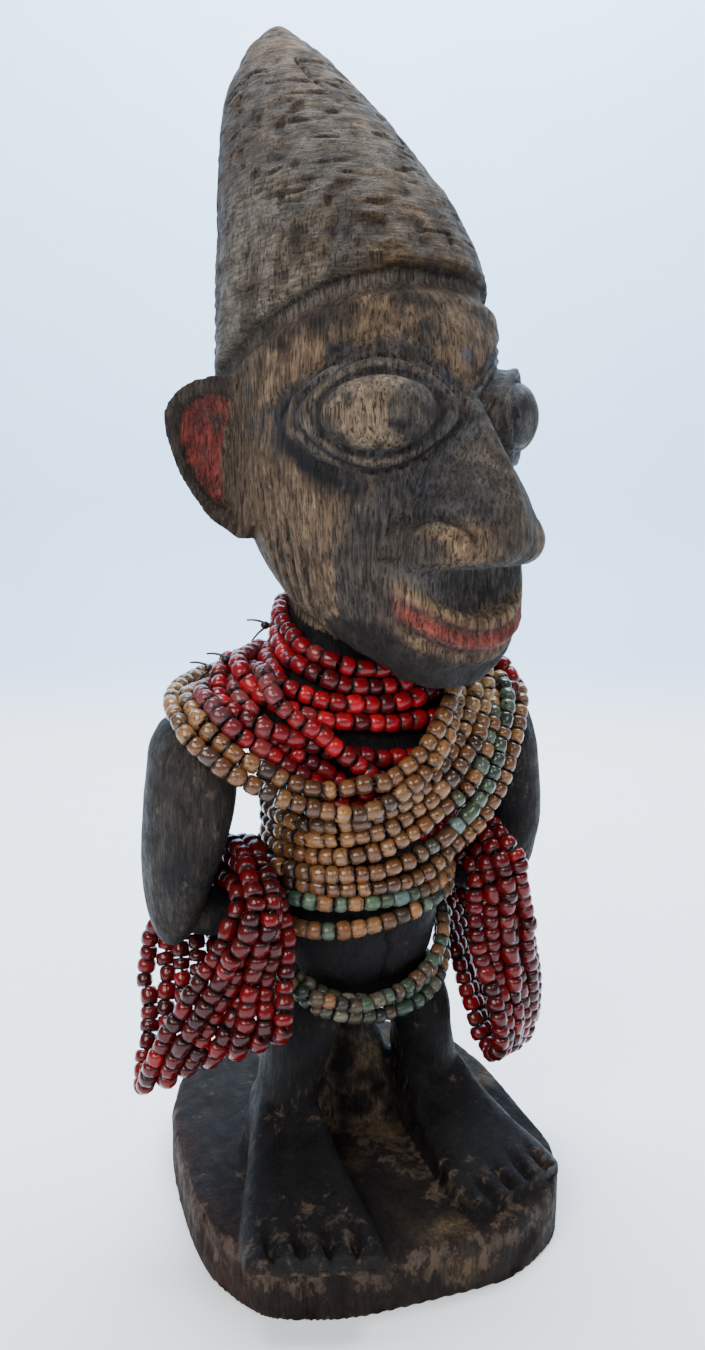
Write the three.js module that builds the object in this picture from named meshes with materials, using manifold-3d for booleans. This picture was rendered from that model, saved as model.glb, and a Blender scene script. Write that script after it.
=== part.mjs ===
// Ibeji twin figure: a standing figure with a tall pointed cap, carved from one block of wood
// with its oval base, and the bead strings it wears. Millimetres, +Z up, the face towards -Y,
// the figure's right hand towards -X. The origin is the middle of the base's underside.
import * as THREE from "three";
import { mergeVertices } from "three/addons/utils/BufferGeometryUtils.js";
import Module from "manifold-3d";

const wasm = await Module();
wasm.setup();
const degrees = THREE.MathUtils.degToRad;

// Base: an oval block, set a little askew under the figure
const baseThickness = 13.5;
const baseHalfWidth = 45.7;
const baseHalfDepth = 51.5;
const baseSquareness = 3.1;
const baseTopEdge = 2.2;
const baseFootEdge = 0.8;
const baseEdgeShare = 0.33;
const baseTurn = degrees(-9.8);

// Figure on the base: its height above the base, where its axis stands, how head and feet turn
const figureHeight = 271.8;
const figureX = -2;
const figureY = -4.2;
const headTurn = degrees(11);
const rightFootSplay = degrees(15);
const leftFootSplay = degrees(0.8);

// Bead strings
const beadDiameter = 3.6;
const wristBeadDiameter = 3.8;
const woodGap = 0.85;
const wristWoodGap = 0.45;
const beadGap = 0.12;
const tubeShare = 0.94;
const neckStrings = 5;
const shoulderStrings = 3;
const collarStrings = 2;
const sashStrings = 5;
const waistStrings = 2;
const hipStrings = 3;
const wristStrings = 7;

// Facets round each form
const facets = { base: 30, trunk: 14, skull: 20, cap: 18, arm: 10, leg: 8, eye: 8, lid: 12, lip: 4 };
const lidRound = 4;
const stringFacets = { round: 4, along: 17, wristAlong: 14 };

// The carving's proportions were drawn on a figure of this height above its base.
const drawnHeight = 271.8;
const unit = figureHeight / drawnHeight;

// Points closer than this are one point; the smallest length that is divided by
const weld = 1e-4;
const tiny = 1e-9;

// Trunk and neck, upwards: height above the base, back, front, half width
const trunkStations = [
  [38, 9, 9, 9],
  [41, 13, 12, 14.5],
  [47, 17, 15, 19],
  [54, 18.5, 17, 20.5],
  [62, 17.5, 18.5, 20.8],
  [72, 15, 19.8, 20.2],
  [82, 14.5, 19.8, 20],
  [92, 14.5, 19, 21.5],
  [100, 15, 18, 26],
  [106, 15, 17, 34],
  [110, 14.5, 16, 37.5],
  [113.5, 13.5, 15, 36],
  [116.5, 13.5, 15, 28.5],
  [120, 14.5, 15, 21],
  [124, 14.5, 14.5, 17],
  [131, 14, 13.5, 15.6],
  [141, 12.5, 14.5, 15],
  [148, 10, 16, 14.5],
];
const trunkSquareness = 2.2;

// Arm, downwards from the shoulder: height, distance out, half thickness, half depth, forward
const armStations = [
  [113.8, 36, 1.5, 3, 0],
  [112, 37.2, 5.5, 8, 0],
  [108, 39, 9, 11.5, 0],
  [100, 40.8, 9.7, 14.2, 0],
  [89, 42.2, 9.5, 14.6, 0],
  [80, 43.8, 8.4, 13.8, 0],
  [72, 45.3, 6.9, 11.6, 0],
  [65, 46.2, 5.2, 8.4, 0],
  [60.5, 46.6, 3.2, 4.8, 0],
  [58.4, 46.7, 0.8, 1.2, 0],
];
const armSquareness = 2;
const handCentre = [34.6, 2.5, 65];
const handSize = [11.2, 6.5, 5.5];

// Leg, upwards: height, distance out, half width, half depth, forward
const legStations = [
  [-1.5, 21, 9.6, 12, 1],
  [8, 20.6, 8.2, 10.4, 1.5],
  [16, 19.8, 7.2, 9, 2.5],
  [26, 17.8, 7.4, 9.4, 2.5],
  [36, 15, 9, 11.6, 1],
  [46, 12, 8, 10, 0],
];
const legSquareness = 2.3;

// Wood left standing between the ankles, upwards: height, distance out, half width, half depth,
// forward
const webStations = [
  [-1.5, 0, 16, 9, -10],
  [10, 0, 15, 7.5, -11],
  [17, 0, 13, 6, -12],
  [20.5, 0, 10, 4, -12.5],
];
const webSquareness = 3.4;

// Foot, from the heel forwards: distance from the ankle, half width, height above the base
const footStations = [
  [-14, 4.6, 10],
  [-11, 7, 14.5],
  [-3, 8.4, 18.5],
  [7, 9.2, 18],
  [15, 11, 12.4],
  [25, 13.2, 7.8],
  [35, 14.8, 5],
  [42, 14.4, 3.8],
];
const ankle = { out: 20, forward: 1 };
const footSink = 2;
const footSection = { shoulder: 0.78, side: 0.5, edge: 0.92, crown: 1.04 };
const toeSlant = 0.2;
const toeCount = 5;
const toeCleft = { length: 9, width: 1.5, depth: 3, tail: 0.2, past: 2 };

// Skull and jaw, upwards: height, back, front, half width (along and across the gaze)
const skullStations = [
  [118, -27, 36, 5.5],
  [120, -25, 37.6, 9.6],
  [124, -18, 39.8, 15.8],
  [128, -9, 41, 19.2],
  [134.5, 5, 41.4, 22],
  [144.5, 17, 40.6, 24.4],
  [156.5, 26, 39.4, 26],
  [168.5, 32, 38.6, 27],
  [181.5, 34.8, 37.6, 26.9],
  [193, 35.6, 35.2, 25.8],
  [202, 35.6, 31, 24.4],
  [211, 34.6, 25.4, 22.4],
];
const skullSquareness = 2.5;
const skullRows = { jaw: [7, 118, 142], face: [10, 146.5, 197], crown: [2, 202, 209] };
const frontCrowding = 0.11;

// Cap, upwards from its rim
const capStations = [
  [180, 38, 34.8, 28.2],
  [194, 37.6, 34, 27.6],
  [204.5, 37.6, 32.2, 27],
  [212.5, 38, 28.8, 26.2],
  [221.5, 38.6, 23.2, 24.4],
  [229.5, 39.4, 16.6, 22.6],
  [236.5, 40, 10.6, 20.8],
  [246.5, 41, 1.2, 17.8],
  [254.5, 40.7, -7, 15],
  [261.5, 39, -13.9, 11],
  [267.5, 36, -21.5, 7],
  [271.8, 31, -27, 2.4],
];
const capSquareness = 2.15;
const capRim = { side: 193.5, rise: 11.5, sag: 1.1, lip: 1.3, tuck: 2.5, inset: 6, edge: 0.012 };
const capRings = [0, 0.07, 0.17, 0.29, 0.42, 0.55, 0.67, 0.78, 0.87, 0.95, 1];

// Eyes: the ball, the almond-shaped lids and the hollow they lie in
const eyeBall = [12.2, 5.8, 7.9];
const eyeBallRows = 6;
const eyeOut = 19.2;
const eyeForward = 31.6;
const eyeHeight = 174.6;
const eyeFacing = degrees(37);
const lid = { across: 14.5, height: 9.6, forward: 0.5, thickness: 1.2, point: 0.2 };
const lidMound = { size: [17.4, 4.8, 11.4], inset: 2.2 };
const faceSlant = 0.055;
const socket = { middle: degrees(41.5), across: degrees(38), height: 12.6, raised: 1, depth: 2.6 };

// Nose, upwards: height, half width, front, how far forward its edges lie
const noseStations = [
  [143.8, 17, 50, 38.6],
  [145.4, 18.5, 51.6, 40.2],
  [150.5, 18, 52.4, 40.4],
  [156.5, 15.4, 51.4, 39.4],
  [163, 11.8, 48.4, 38],
  [171, 7.6, 43.6, 36.4],
  [180, 3.6, 37.8, 33],
];
const noseProfile = [-1, -0.9, -0.66, -0.36, 0, 0.36, 0.66, 0.9, 1];
const noseRoundness = { wings: 1.9, bridge: 1 };
const faceRoot = { forward: 24, share: 0.8 };

// Muzzle, upwards: height, half width, front
const muzzleStations = [
  [119.5, 8.4, 34],
  [121.5, 11.6, 37],
  [125, 15.2, 40.2],
  [129.5, 18.2, 42.6],
  [136, 20, 43.8],
  [146, 20.5, 43],
];
const muzzle = { margin: 2, fall: 12.5, roundness: 2.7, sides: 8 };

// Mouth hollow and the bands below it: teeth, lower lip and the rim of the lip
const mouth = { halfWidth: 17.5, top: 144.3, corner: 141.4, middle: 133.6, depth: 38.6, out: 60 };
const mouthSteps = 9;
const bands = [
  { below: 1.7, stand: 1, thickness: 1.9 },
  { below: 5.4, stand: 2, thickness: 2.1 },
  { below: 9.2, stand: 1.1, thickness: 1.6 },
];
const bandRise = 7.2;
const bandTaper = 0.4;

// Ear: outline as shares of its height and reach, the reach starting inside the head
const earOutline = [
  [0.01, 0.04],
  [0.15, 0.42],
  [0.34, 0.72],
  [0.56, 0.93],
  [0.76, 1],
  [0.9, 0.87],
  [0.97, 0.66],
  [1, 0.4],
];
const ear = { low: 149, high: 185, out: 25.2, forward: -7, hidden: 1.5, reach: 19.5 };
const earForm = { sweep: degrees(51), thickness: 3.4, cup: 3.6, taper: 0.35, backShare: 0.6 };
const earAcross = [-0.25, 0.2, 0.5, 0.78, 1];

// Smooth curve through the rows of a station table, at one height.
function through(rows, at, column) {
  const up = rows[0][0] < rows[rows.length - 1][0];
  const key = (i) => (up ? rows[i][0] : -rows[i][0]);
  const t = up ? at : -at;
  const last = rows.length - 1;
  if (t <= key(0)) return rows[0][column];
  if (t >= key(last)) return rows[last][column];
  let i = 0;
  while (t > key(i + 1)) i += 1;
  const span = key(i + 1) - key(i);
  const rise = (a, b) => (rows[b][column] - rows[a][column]) / (key(b) - key(a));
  const slope = (k) => {
    if (k === 0) return rise(0, 1);
    if (k === last) return rise(last - 1, last);
    return rise(k - 1, k) * rise(k, k + 1) <= 0 ? 0 : rise(k - 1, k + 1);
  };
  const u = (t - key(i)) / span;
  const h = u * u * (3 - 2 * u);
  return (
    rows[i][column] * (1 - h) +
    rows[i + 1][column] * h +
    slope(i) * span * u * (1 - u) * (1 - u) -
    slope(i + 1) * span * u * u * (1 - u)
  );
}

const steps = (count, from, to) =>
  Array.from({ length: count }, (_, i) => from + ((to - from) * i) / (count - 1));

// Angles of a full turn, and the ring of points they give.
const turn = (sides) => steps(sides + 1, -Math.PI, Math.PI).slice(0, sides);

// Point of an oval of the given half sizes; power 2 is an ellipse, more is squarer.
function oval(angle, across, along, power) {
  const bend = (v) => Math.sign(v) * Math.abs(v) ** (2 / power);
  return [across * bend(Math.sin(angle)), along * bend(Math.cos(angle))];
}

// Closed solid from points and triangles, turned outwards if it came out inside out.
function solidFrom(points, faces) {
  const geometry = new THREE.BufferGeometry();
  geometry.setAttribute("position", new THREE.Float32BufferAttribute(points.flat(), 3));
  geometry.setIndex(faces);
  const merged = mergeVertices(geometry, weld);
  const position = merged.attributes.position;
  const triangles = new Uint32Array(merged.index.array);
  const [a, b, c] = [new THREE.Vector3(), new THREE.Vector3(), new THREE.Vector3()];
  let volume = 0;
  for (let i = 0; i < triangles.length; i += 3) {
    a.fromBufferAttribute(position, triangles[i]);
    b.fromBufferAttribute(position, triangles[i + 1]);
    c.fromBufferAttribute(position, triangles[i + 2]);
    volume += a.dot(b.cross(c));
  }
  if (volume < 0) {
    for (let i = 0; i < triangles.length; i += 3) {
      [triangles[i + 1], triangles[i + 2]] = [triangles[i + 2], triangles[i + 1]];
    }
  }
  return new wasm.Manifold(
    new wasm.Mesh({ numProp: 3, vertProperties: position.array, triVerts: triangles }),
  );
}

// Solid from rings of points, each ring with as many points, closed at both ends.
function ringsSolid(rings) {
  const sides = rings[0].length;
  const points = rings.flat();
  const middle = (ring) =>
    ring.reduce((sum, p) => sum.map((v, k) => v + p[k] / ring.length), [0, 0, 0]);
  const bottom = points.push(middle(rings[0])) - 1;
  const top = points.push(middle(rings[rings.length - 1])) - 1;
  const faces = [];
  const at = (ring, side) => ring * sides + (side % sides);
  for (let r = 0; r + 1 < rings.length; r += 1) {
    for (let s = 0; s < sides; s += 1) {
      faces.push(at(r, s), at(r, s + 1), at(r + 1, s + 1));
      faces.push(at(r, s), at(r + 1, s + 1), at(r + 1, s));
    }
  }
  for (let s = 0; s < sides; s += 1) {
    faces.push(at(0, s + 1), at(0, s), bottom);
    faces.push(at(rings.length - 1, s), at(rings.length - 1, s + 1), top);
  }
  return solidFrom(points, faces);
}

// Figure's frame: across, forwards and height above the base, to the part's millimetres.
const standing = (across, forward, height) => [
  figureX + across * unit,
  figureY - forward * unit,
  baseThickness + height * unit,
];

// Head's frame: turned about the neck.
const headTurned = [Math.sin(headTurn), Math.cos(headTurn)];
function headPoint(across, forward, height) {
  const [s, c] = headTurned;
  return standing(across * c + forward * s, forward * c - across * s, height);
}

// Face's frame: the carved features sit a little higher on the figure's left.
const facePoint = (across, forward, height) =>
  headPoint(across, forward, height + faceSlant * across);

// Base: an oval block with a worn upper edge.
function baseSolid() {
  const [s, c] = [Math.sin(baseTurn), Math.cos(baseTurn)];
  const ring = (inset, height) =>
    turn(facets.base).map((t) => {
      const [x, y] = oval(t, baseHalfWidth - inset, baseHalfDepth - inset, baseSquareness);
      return [x * c - y * s, x * s + y * c, height];
    });
  return ringsSolid([
    ring(baseFootEdge, 0),
    ring(0, baseFootEdge),
    ring(0, baseThickness - baseTopEdge),
    ring(baseTopEdge * baseEdgeShare, baseThickness - baseTopEdge * baseEdgeShare),
    ring(baseTopEdge, baseThickness),
  ]);
}

// Stack of level ovals: middle, half width and half depth at a height.
const trunkOval = (height) => {
  const back = through(trunkStations, height, 1);
  const front = through(trunkStations, height, 2);
  const across = through(trunkStations, height, 3);
  return { x: 0, f: (front - back) / 2, across, along: (front + back) / 2 };
};
const skullOval = (height) => {
  const back = through(skullStations, height, 1);
  const front = through(skullStations, height, 2);
  const across = through(skullStations, height, 3);
  return { x: 0, f: (front - back) / 2, across, along: (front + back) / 2 };
};
const limbOval = (rows, side) => (height) => ({
  x: side * through(rows, height, 1),
  f: through(rows, height, 4),
  across: through(rows, height, 2),
  along: through(rows, height, 3),
});
const handOval = (side) => (height) => {
  const share = Math.sqrt(Math.max(1 - ((height - handCentre[2]) / handSize[2]) ** 2, 0));
  const [across, along] = [handSize[0] * share + wristWoodGap, handSize[1] * share + wristWoodGap];
  return { x: side * handCentre[0], f: handCentre[1], across, along };
};

// Solid of a stack of ovals, one ring at each of the given heights.
function stackSolid(heights, ovalAt, sides, power) {
  return ringsSolid(
    heights.map((height) => {
      const o = ovalAt(height);
      return turn(sides).map((t) => {
        const [x, f] = oval(t, o.across, o.along, power);
        return standing(o.x + x, o.f + f, height);
      });
    }),
  );
}

// Egg-shaped solid about a centre, its rings placed by the given function.
function eggSolid(centre, size, facing, place, around, rows) {
  const [s, c] = [Math.sin(facing), Math.cos(facing)];
  const pole = Math.PI / (4 * rows);
  return ringsSolid(
    steps(rows, pole, Math.PI - pole).map((latitude) =>
      turn(around).map((t) => {
        const x = size[0] * Math.sin(latitude) * Math.cos(t);
        const f = size[1] * Math.sin(latitude) * Math.sin(t);
        const z = size[2] * Math.cos(latitude);
        return place(centre[0] + x * c + f * s, centre[1] - x * s + f * c, centre[2] + z);
      }),
    ),
  );
}

// Foot's frame: across and forwards from the ankle, turned by its splay.
function footPoint(side, splay, across, forward, height) {
  const [s, c] = [Math.sin(side * splay), Math.cos(splay)];
  const x = side * ankle.out + across * c + forward * s;
  return standing(x, ankle.forward + forward * c - across * s, height);
}

// Foot: a wedge that widens and sinks towards the toes, parted into toes by clefts.
function footSolid(side, splay) {
  const { shoulder, side: flank, edge, crown } = footSection;
  const slant = (across) => -side * across * toeSlant;
  const wedge = ringsSolid(
    footStations.map(([forward, half, height], row) => {
      const share = row / (footStations.length - 1);
      const at = (across, z) =>
        footPoint(side, splay, across, forward + slant(across) * share, z);
      return [
        at(-half, -footSink),
        at(-half, height * flank),
        at(-half * shoulder, height * edge),
        at(0, height * crown),
        at(half * shoulder, height * edge),
        at(half, height * flank),
        at(half, -footSink),
      ];
    }),
  );
  const [front, half, height] = footStations[footStations.length - 1];
  const clefts = steps(toeCount + 1, -half, half)
    .slice(1, toeCount)
    .map((across) => {
      const at = (x, f, z) => footPoint(side, splay, x, f + slant(x), z);
      const open = toeCleft.width / 2;
      const start = front - toeCleft.length;
      const end = front + toeCleft.past;
      const lift = height + toeCleft.depth;
      const floor = height - toeCleft.depth;
      return ringsSolid([
        [
          at(across - toeCleft.tail, start, lift),
          at(across + toeCleft.tail, start, lift),
          at(across, start, lift - toeCleft.tail),
        ],
        [at(across - open, end, lift), at(across + open, end, lift), at(across, end, floor)],
      ]);
    });
  return clefts.reduce((foot, cleft) => foot.subtract(cleft), wedge);
}

// Point on the skull at an angle round it and a height; angle 0 faces forwards.
function skullPoint(angle, height, lift) {
  const o = skullOval(height);
  const [x, f] = oval(angle, o.across + lift, o.along + lift, skullSquareness);
  return [x, o.f + f, height];
}

// Depth of the eye hollows at a place on the face.
function socketAt(angle, height) {
  const u = (Math.abs(angle) - socket.middle) / socket.across;
  const middle = eyeHeight + socket.raised + faceSlant * eyeOut * Math.sign(angle);
  const v = (height - middle) / socket.height;
  return socket.depth * Math.exp(-((u * u + v * v) ** 2));
}

function skullSolid() {
  const heights = Object.values(skullRows).flatMap((row) => steps(...row));
  return ringsSolid(
    heights.map((height) =>
      turn(facets.skull).map((t) => {
        const angle = t - frontCrowding * Math.sin(t) * (1 - Math.cos(t));
        return headPoint(...skullPoint(angle, height, -socketAt(angle, height)));
      }),
    ),
  );
}

// Height of the cap's rim round the head: highest over the forehead.
const rimHeight = (angle) =>
  capRim.side + capRim.rise * Math.cos(angle) - capRim.sag * Math.cos(2 * angle);

function capSolid() {
  const tip = capStations[capStations.length - 1][0];
  const ring = (share, inset) =>
    turn(facets.cap).map((t) => {
      const height = rimHeight(t) + (tip - rimHeight(t)) * share;
      const back = through(capStations, height, 1) - inset;
      const front = through(capStations, height, 2) - inset;
      const across = through(capStations, height, 3) - inset;
      const [x, f] = oval(t, across, (front + back) / 2, capSquareness);
      return headPoint(x, (front - back) / 2 + f, height);
    });
  const inner = turn(facets.cap).map((t) =>
    headPoint(...skullPoint(t, rimHeight(t) + capRim.tuck, -capRim.inset)),
  );
  const outer = capRings.map((share, i) => ring(i === 0 ? capRim.edge : share, 0));
  return ringsSolid([inner, ring(0, capRim.lip), ...outer]);
}

// Nose: a ridge that broadens into wide wings over the mouth.
function noseSolid() {
  const last = noseStations.length - 1;
  return ringsSolid(
    noseStations.map(([height, half, front, edge], row) => {
      const { wings, bridge } = noseRoundness;
      const bend = wings + ((bridge - wings) * row) / last;
      const profile = noseProfile.map((u) =>
        facePoint(u * half, front - (front - edge) * Math.abs(u) ** bend, height),
      );
      const root = half * faceRoot.share;
      return [
        ...profile,
        facePoint(root, faceRoot.forward, height),
        facePoint(-root, faceRoot.forward, height),
      ];
    }),
  );
}

// Muzzle: the rounded swell that carries the lips.
function muzzleFront(across, height) {
  const half = through(muzzleStations, height, 1) + muzzle.margin;
  const front = through(muzzleStations, height, 2);
  return front - muzzle.fall * (Math.abs(across) / half) ** muzzle.roundness;
}

function muzzleSolid() {
  return ringsSolid(
    muzzleStations.map(([height, half]) => [
      ...steps(muzzle.sides + 1, -half, half).map((x) =>
        facePoint(x, muzzleFront(x, height), height),
      ),
      facePoint(half * faceRoot.share, faceRoot.forward, height),
      facePoint(-half * faceRoot.share, faceRoot.forward, height),
    ]),
  );
}

// Open mouth: a hollow under the nose whose lower edge smiles and which runs out at the corners.
function mouthSolid() {
  return ringsSolid(
    steps(mouthSteps, -mouth.halfWidth, mouth.halfWidth).map((x) => {
      const share = (x / mouth.halfWidth) ** 2;
      const lower = mouth.middle + (mouth.corner - mouth.middle) * share;
      const inner = mouth.depth + (muzzleFront(x, mouth.corner) - mouth.depth) * share;
      return [
        facePoint(x, inner, mouth.top),
        facePoint(x, inner, lower),
        facePoint(x, mouth.out, lower),
        facePoint(x, mouth.out, mouth.top),
      ];
    }),
  );
}

// Band across the muzzle that turns up towards the corners of the mouth.
function bandSolid(band) {
  return ringsSolid(
    steps(mouthSteps, -mouth.halfWidth, mouth.halfWidth).map((x) => {
      const share = Math.abs(x) / mouth.halfWidth;
      const height = mouth.middle - band.below + bandRise * share ** 2;
      const thick = band.thickness * (1 - bandTaper * share ** 3);
      const front = muzzleFront(x, height) + band.stand * (1 - share ** 3) - thick;
      return turn(facets.lip).map((t) =>
        facePoint(x, front + thick * Math.cos(t), height + thick * Math.sin(t)),
      );
    }),
  );
}

// Tube of the given radius along a closed line, its rings level with the line's own turn.
function tubeRings(line, radius, round) {
  const middle = line.reduce((sum, p) => sum.add(p), new THREE.Vector3()).divideScalar(line.length);
  const rings = line.map((p, i) => {
    const before = line[(i + line.length - 1) % line.length];
    const after = line[(i + 1) % line.length];
    const ahead = after.clone().sub(before).normalize();
    const outwards = p.clone().sub(middle);
    outwards.addScaledVector(ahead, -outwards.dot(ahead)).normalize();
    const over = ahead.clone().cross(outwards);
    return turn(round).map((t) =>
      p
        .clone()
        .addScaledVector(outwards, radius * Math.cos(t))
        .addScaledVector(over, radius * Math.sin(t))
        .toArray(),
    );
  });
  const faces = [];
  const at = (ring, side) => (ring % rings.length) * round + (side % round);
  rings.forEach((_, r) => {
    for (let s = 0; s < round; s += 1) {
      faces.push(at(r, s), at(r, s + 1), at(r + 1, s + 1));
      faces.push(at(r, s), at(r + 1, s + 1), at(r + 1, s));
    }
  });
  return { points: rings.flat(), faces };
}

// Eyelids: an almond-shaped rim round each eyeball, square to the way the eye faces.
function lidSolid(side) {
  const [s, c] = [Math.sin(side * eyeFacing), Math.cos(eyeFacing)];
  const line = turn(facets.lid).map((t) => {
    const x = lid.across * Math.cos(t);
    const z = lid.height * Math.sin(t) * (1 - lid.point * Math.cos(t) ** 2);
    const [across, forward] = [x * c + lid.forward * s, lid.forward * c - x * s];
    return new THREE.Vector3(
      ...facePoint(side * eyeOut + across, eyeForward + forward, eyeHeight + z),
    );
  });
  const { points, faces } = tubeRings(line, lid.thickness * unit, lidRound);
  return solidFrom(points, faces);
}

// Ear: a cupped flap that stands out behind the cheek, widest near its top.
function earSolid(side) {
  const [s, c] = [Math.sin(earForm.sweep), Math.cos(earForm.sweep)];
  return ringsSolid(
    earOutline.map(([share, wide]) => {
      const height = ear.low + (ear.high - ear.low) * share;
      const reach = ear.hidden + (ear.reach - ear.hidden) * wide;
      const at = (u, lift) => {
        const x = ear.out + u * reach * c + lift * s;
        const f = ear.forward - u * reach * s + lift * c;
        return headPoint(side * x, f, height);
      };
      const round = (u) => Math.sin(Math.PI * Math.max(u, 0));
      const cup = (u) => -earForm.cup * round(u) * Math.sin(Math.PI * share);
      const thick = (u) => (earForm.thickness / 2) * (1 - earForm.taper * Math.max(u, 0));
      return [
        ...earAcross.map((u) => at(u, cup(u) + thick(u))),
        ...earAcross.toReversed().map((u) => at(u, cup(u) * earForm.backShare - thick(u))),
      ];
    }),
  );
}

function figureSolid() {
  const heights = (rows) => rows.map((row) => row[0]);
  const pieces = [
    baseSolid(),
    stackSolid(heights(trunkStations), trunkOval, facets.trunk, trunkSquareness),
    skullSolid(),
    capSolid(),
    noseSolid(),
    muzzleSolid(),
    stackSolid(heights(webStations), limbOval(webStations, 0), facets.leg, webSquareness),
  ];
  for (const side of [-1, 1]) {
    const splay = side < 0 ? rightFootSplay : leftFootSplay;
    const hand = [side * handCentre[0], handCentre[1], handCentre[2]];
    const eye = [side * eyeOut, eyeForward, eyeHeight];
    const arm = limbOval(armStations, side);
    const leg = limbOval(legStations, side);
    pieces.push(stackSolid(heights(armStations), arm, facets.arm, armSquareness));
    pieces.push(stackSolid(heights(legStations), leg, facets.leg, legSquareness));
    pieces.push(footSolid(side, splay));
    pieces.push(eggSolid(hand, handSize, 0, standing, facets.eye, eyeBallRows));
    pieces.push(eggSolid(eye, eyeBall, side * eyeFacing, facePoint, facets.eye, eyeBallRows));
    const mound = [side * eyeOut, eyeForward - lidMound.inset, eyeHeight];
    pieces.push(eggSolid(mound, lidMound.size, side * eyeFacing, facePoint, facets.eye, eyeBallRows));
    pieces.push(lidSolid(side));
    pieces.push(earSolid(side));
  }
  const block = pieces.reduce((whole, piece) => whole.add(piece)).subtract(mouthSolid());
  const carved = bands.reduce((whole, band) => whole.add(bandSolid(band)), block);
  return carved.decompose().reduce((most, body) => (body.volume() > most.volume() ? body : most));
}

// Wood near the bead strings: stacks of ovals, their sizes listed at even heights.
const listStep = 0.5;
function woodStack(rows, ovalAt, turned) {
  const ends = [rows[0][0], rows[rows.length - 1][0]];
  const [low, high] = [Math.min(...ends), Math.max(...ends)];
  const count = Math.ceil((high - low) / listStep) + 1;
  const list = steps(count, low, high).map((height) => {
    const o = ovalAt(height);
    return [o.x, o.f, o.across, o.along];
  });
  return { low, high, list, pace: (high - low) / (count - 1), turned };
}

const trunkWood = woodStack(trunkStations, trunkOval, false);
const jawWood = woodStack(skullStations, skullOval, true);
const armWood = [-1, 1].map((side) => woodStack(armStations, limbOval(armStations, side), false));
const legWood = [-1, 1].map((side) => woodStack(legStations, limbOval(legStations, side), false));
const handRows = [[handCentre[2] - handSize[2]], [handCentre[2] + handSize[2]]];
const handWood = [-1, 1].map((side) => woodStack(handRows, handOval(side), false));
const allWood = [trunkWood, jawWood, ...armWood, ...legWood, ...handWood];

// Level distance from a place to a stack's oval at one height.
function levelGap(form, u, v, height) {
  const t = (height - form.low) / form.pace;
  const i = Math.min(Math.floor(t), form.list.length - 2);
  const [a, b, w] = [form.list[i], form.list[i + 1], t - i];
  const dx = u - (a[0] + (b[0] - a[0]) * w);
  const df = v - (a[1] + (b[1] - a[1]) * w);
  const across = a[2] + (b[2] - a[2]) * w;
  const along = a[3] + (b[3] - a[3]) * w;
  const share = Math.hypot(dx / across, df / along) + tiny;
  return Math.hypot(dx, df) * (1 - 1 / share);
}

// How far a place stands outside a stack of ovals, measured level and then down its slope.
function outside(form, x, f, height) {
  const level = Math.min(Math.max(height, form.low), form.high);
  const [s, c] = form.turned ? headTurned : [0, 1];
  const [u, v] = [x * c - f * s, f * c + x * s];
  const near = levelGap(form, u, v, level);
  const over = height - level;
  if (over !== 0) return near > 0 ? Math.hypot(near, over) : Math.abs(over);
  const more = levelGap(form, u, v, Math.min(level + 1, form.high));
  const less = levelGap(form, u, v, Math.max(level - 1, form.low));
  return near / Math.hypot(1, (more - less) / 2);
}

function woodDistance(forms, x, f, height) {
  let least = Infinity;
  for (const form of forms) least = Math.min(least, outside(form, x, f, height));
  return least;
}

// Outer hull of points in the plane, in order round it.
function hull(points) {
  const sorted = [...points].sort((p, q) => p[0] - q[0] || p[1] - q[1]);
  const bend = (o, p, q) => (p[0] - o[0]) * (q[1] - o[1]) - (p[1] - o[1]) * (q[0] - o[0]);
  const half = (list) => {
    const kept = [];
    for (const p of list) {
      while (kept.length > 1 && bend(kept[kept.length - 2], kept[kept.length - 1], p) <= 0) {
        kept.pop();
      }
      kept.push(p);
    }
    return kept.slice(0, -1);
  };
  return [...half(sorted), ...half(sorted.toReversed())];
}

// The same closed outline with evenly spaced points.
function spread(outline, count) {
  const size = outline.length;
  const step = outline.map((p, i) =>
    Math.hypot(...p.map((v, k) => outline[(i + 1) % size][k] - v)),
  );
  const total = step.reduce((a, b) => a + b, 0);
  let [i, gone] = [0, 0];
  return steps(count + 1, 0, total)
    .slice(0, count)
    .map((at) => {
      while (at > gone + step[i] && i < size - 1) {
        gone += step[i];
        i += 1;
      }
      const u = Math.min((at - gone) / (step[i] || 1), 1);
      return outline[i].map((v, k) => v + u * (outline[(i + 1) % size][k] - v));
    });
}

// Strings drawn taut round the trunk: height of the plane each lies in and its slopes, each with
// the change to the next string and the change of that change
const ties = {
  neck: { height: [119.6, 1.2, 0.3], side: [0], front: [0.95, -0.16, 0.018], back: [0.07, 0.17, -0.017] },
  shoulder: { height: [102.8, 2.6], side: [-0.38], front: [0.93, -0.085], back: [0.2] },
  waist: { height: [68, -4.6], side: [0.08], front: [0.08], back: [0] },
  hip: { height: [60.5, -3.9], side: [0], front: [1.1], back: [0] },
};
const tieAt = ([first, pace = 0, bend = 0], order) => first + pace * order + bend * order ** 2;

// Route of a string drawn round the trunk: a folded plane's cut with the wood, pulled taut.
const rays = 72;
const rayStart = 62;
const rayStride = 0.4;

function tautLoop({ height, side, front, back }, clearance) {
  const plane = (x, f) => height + side * x - front * Math.max(f, 0) - back * Math.min(f, 0);
  const cut = turn(rays).map((t) => {
    const [dx, df] = [Math.sin(t), Math.cos(t)];
    let reach = rayStart;
    const free = (r) => {
      const [x, f] = [r * dx, r * df];
      return outside(trunkWood, x, f, plane(x, f)) > clearance;
    };
    while (reach > rayStride && free(reach)) reach -= rayStride;
    return [reach * dx, reach * df];
  });
  return spread(hull(cut), stringFacets.along).map(([x, f]) => [x, f, plane(x, f)]);
}

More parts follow.
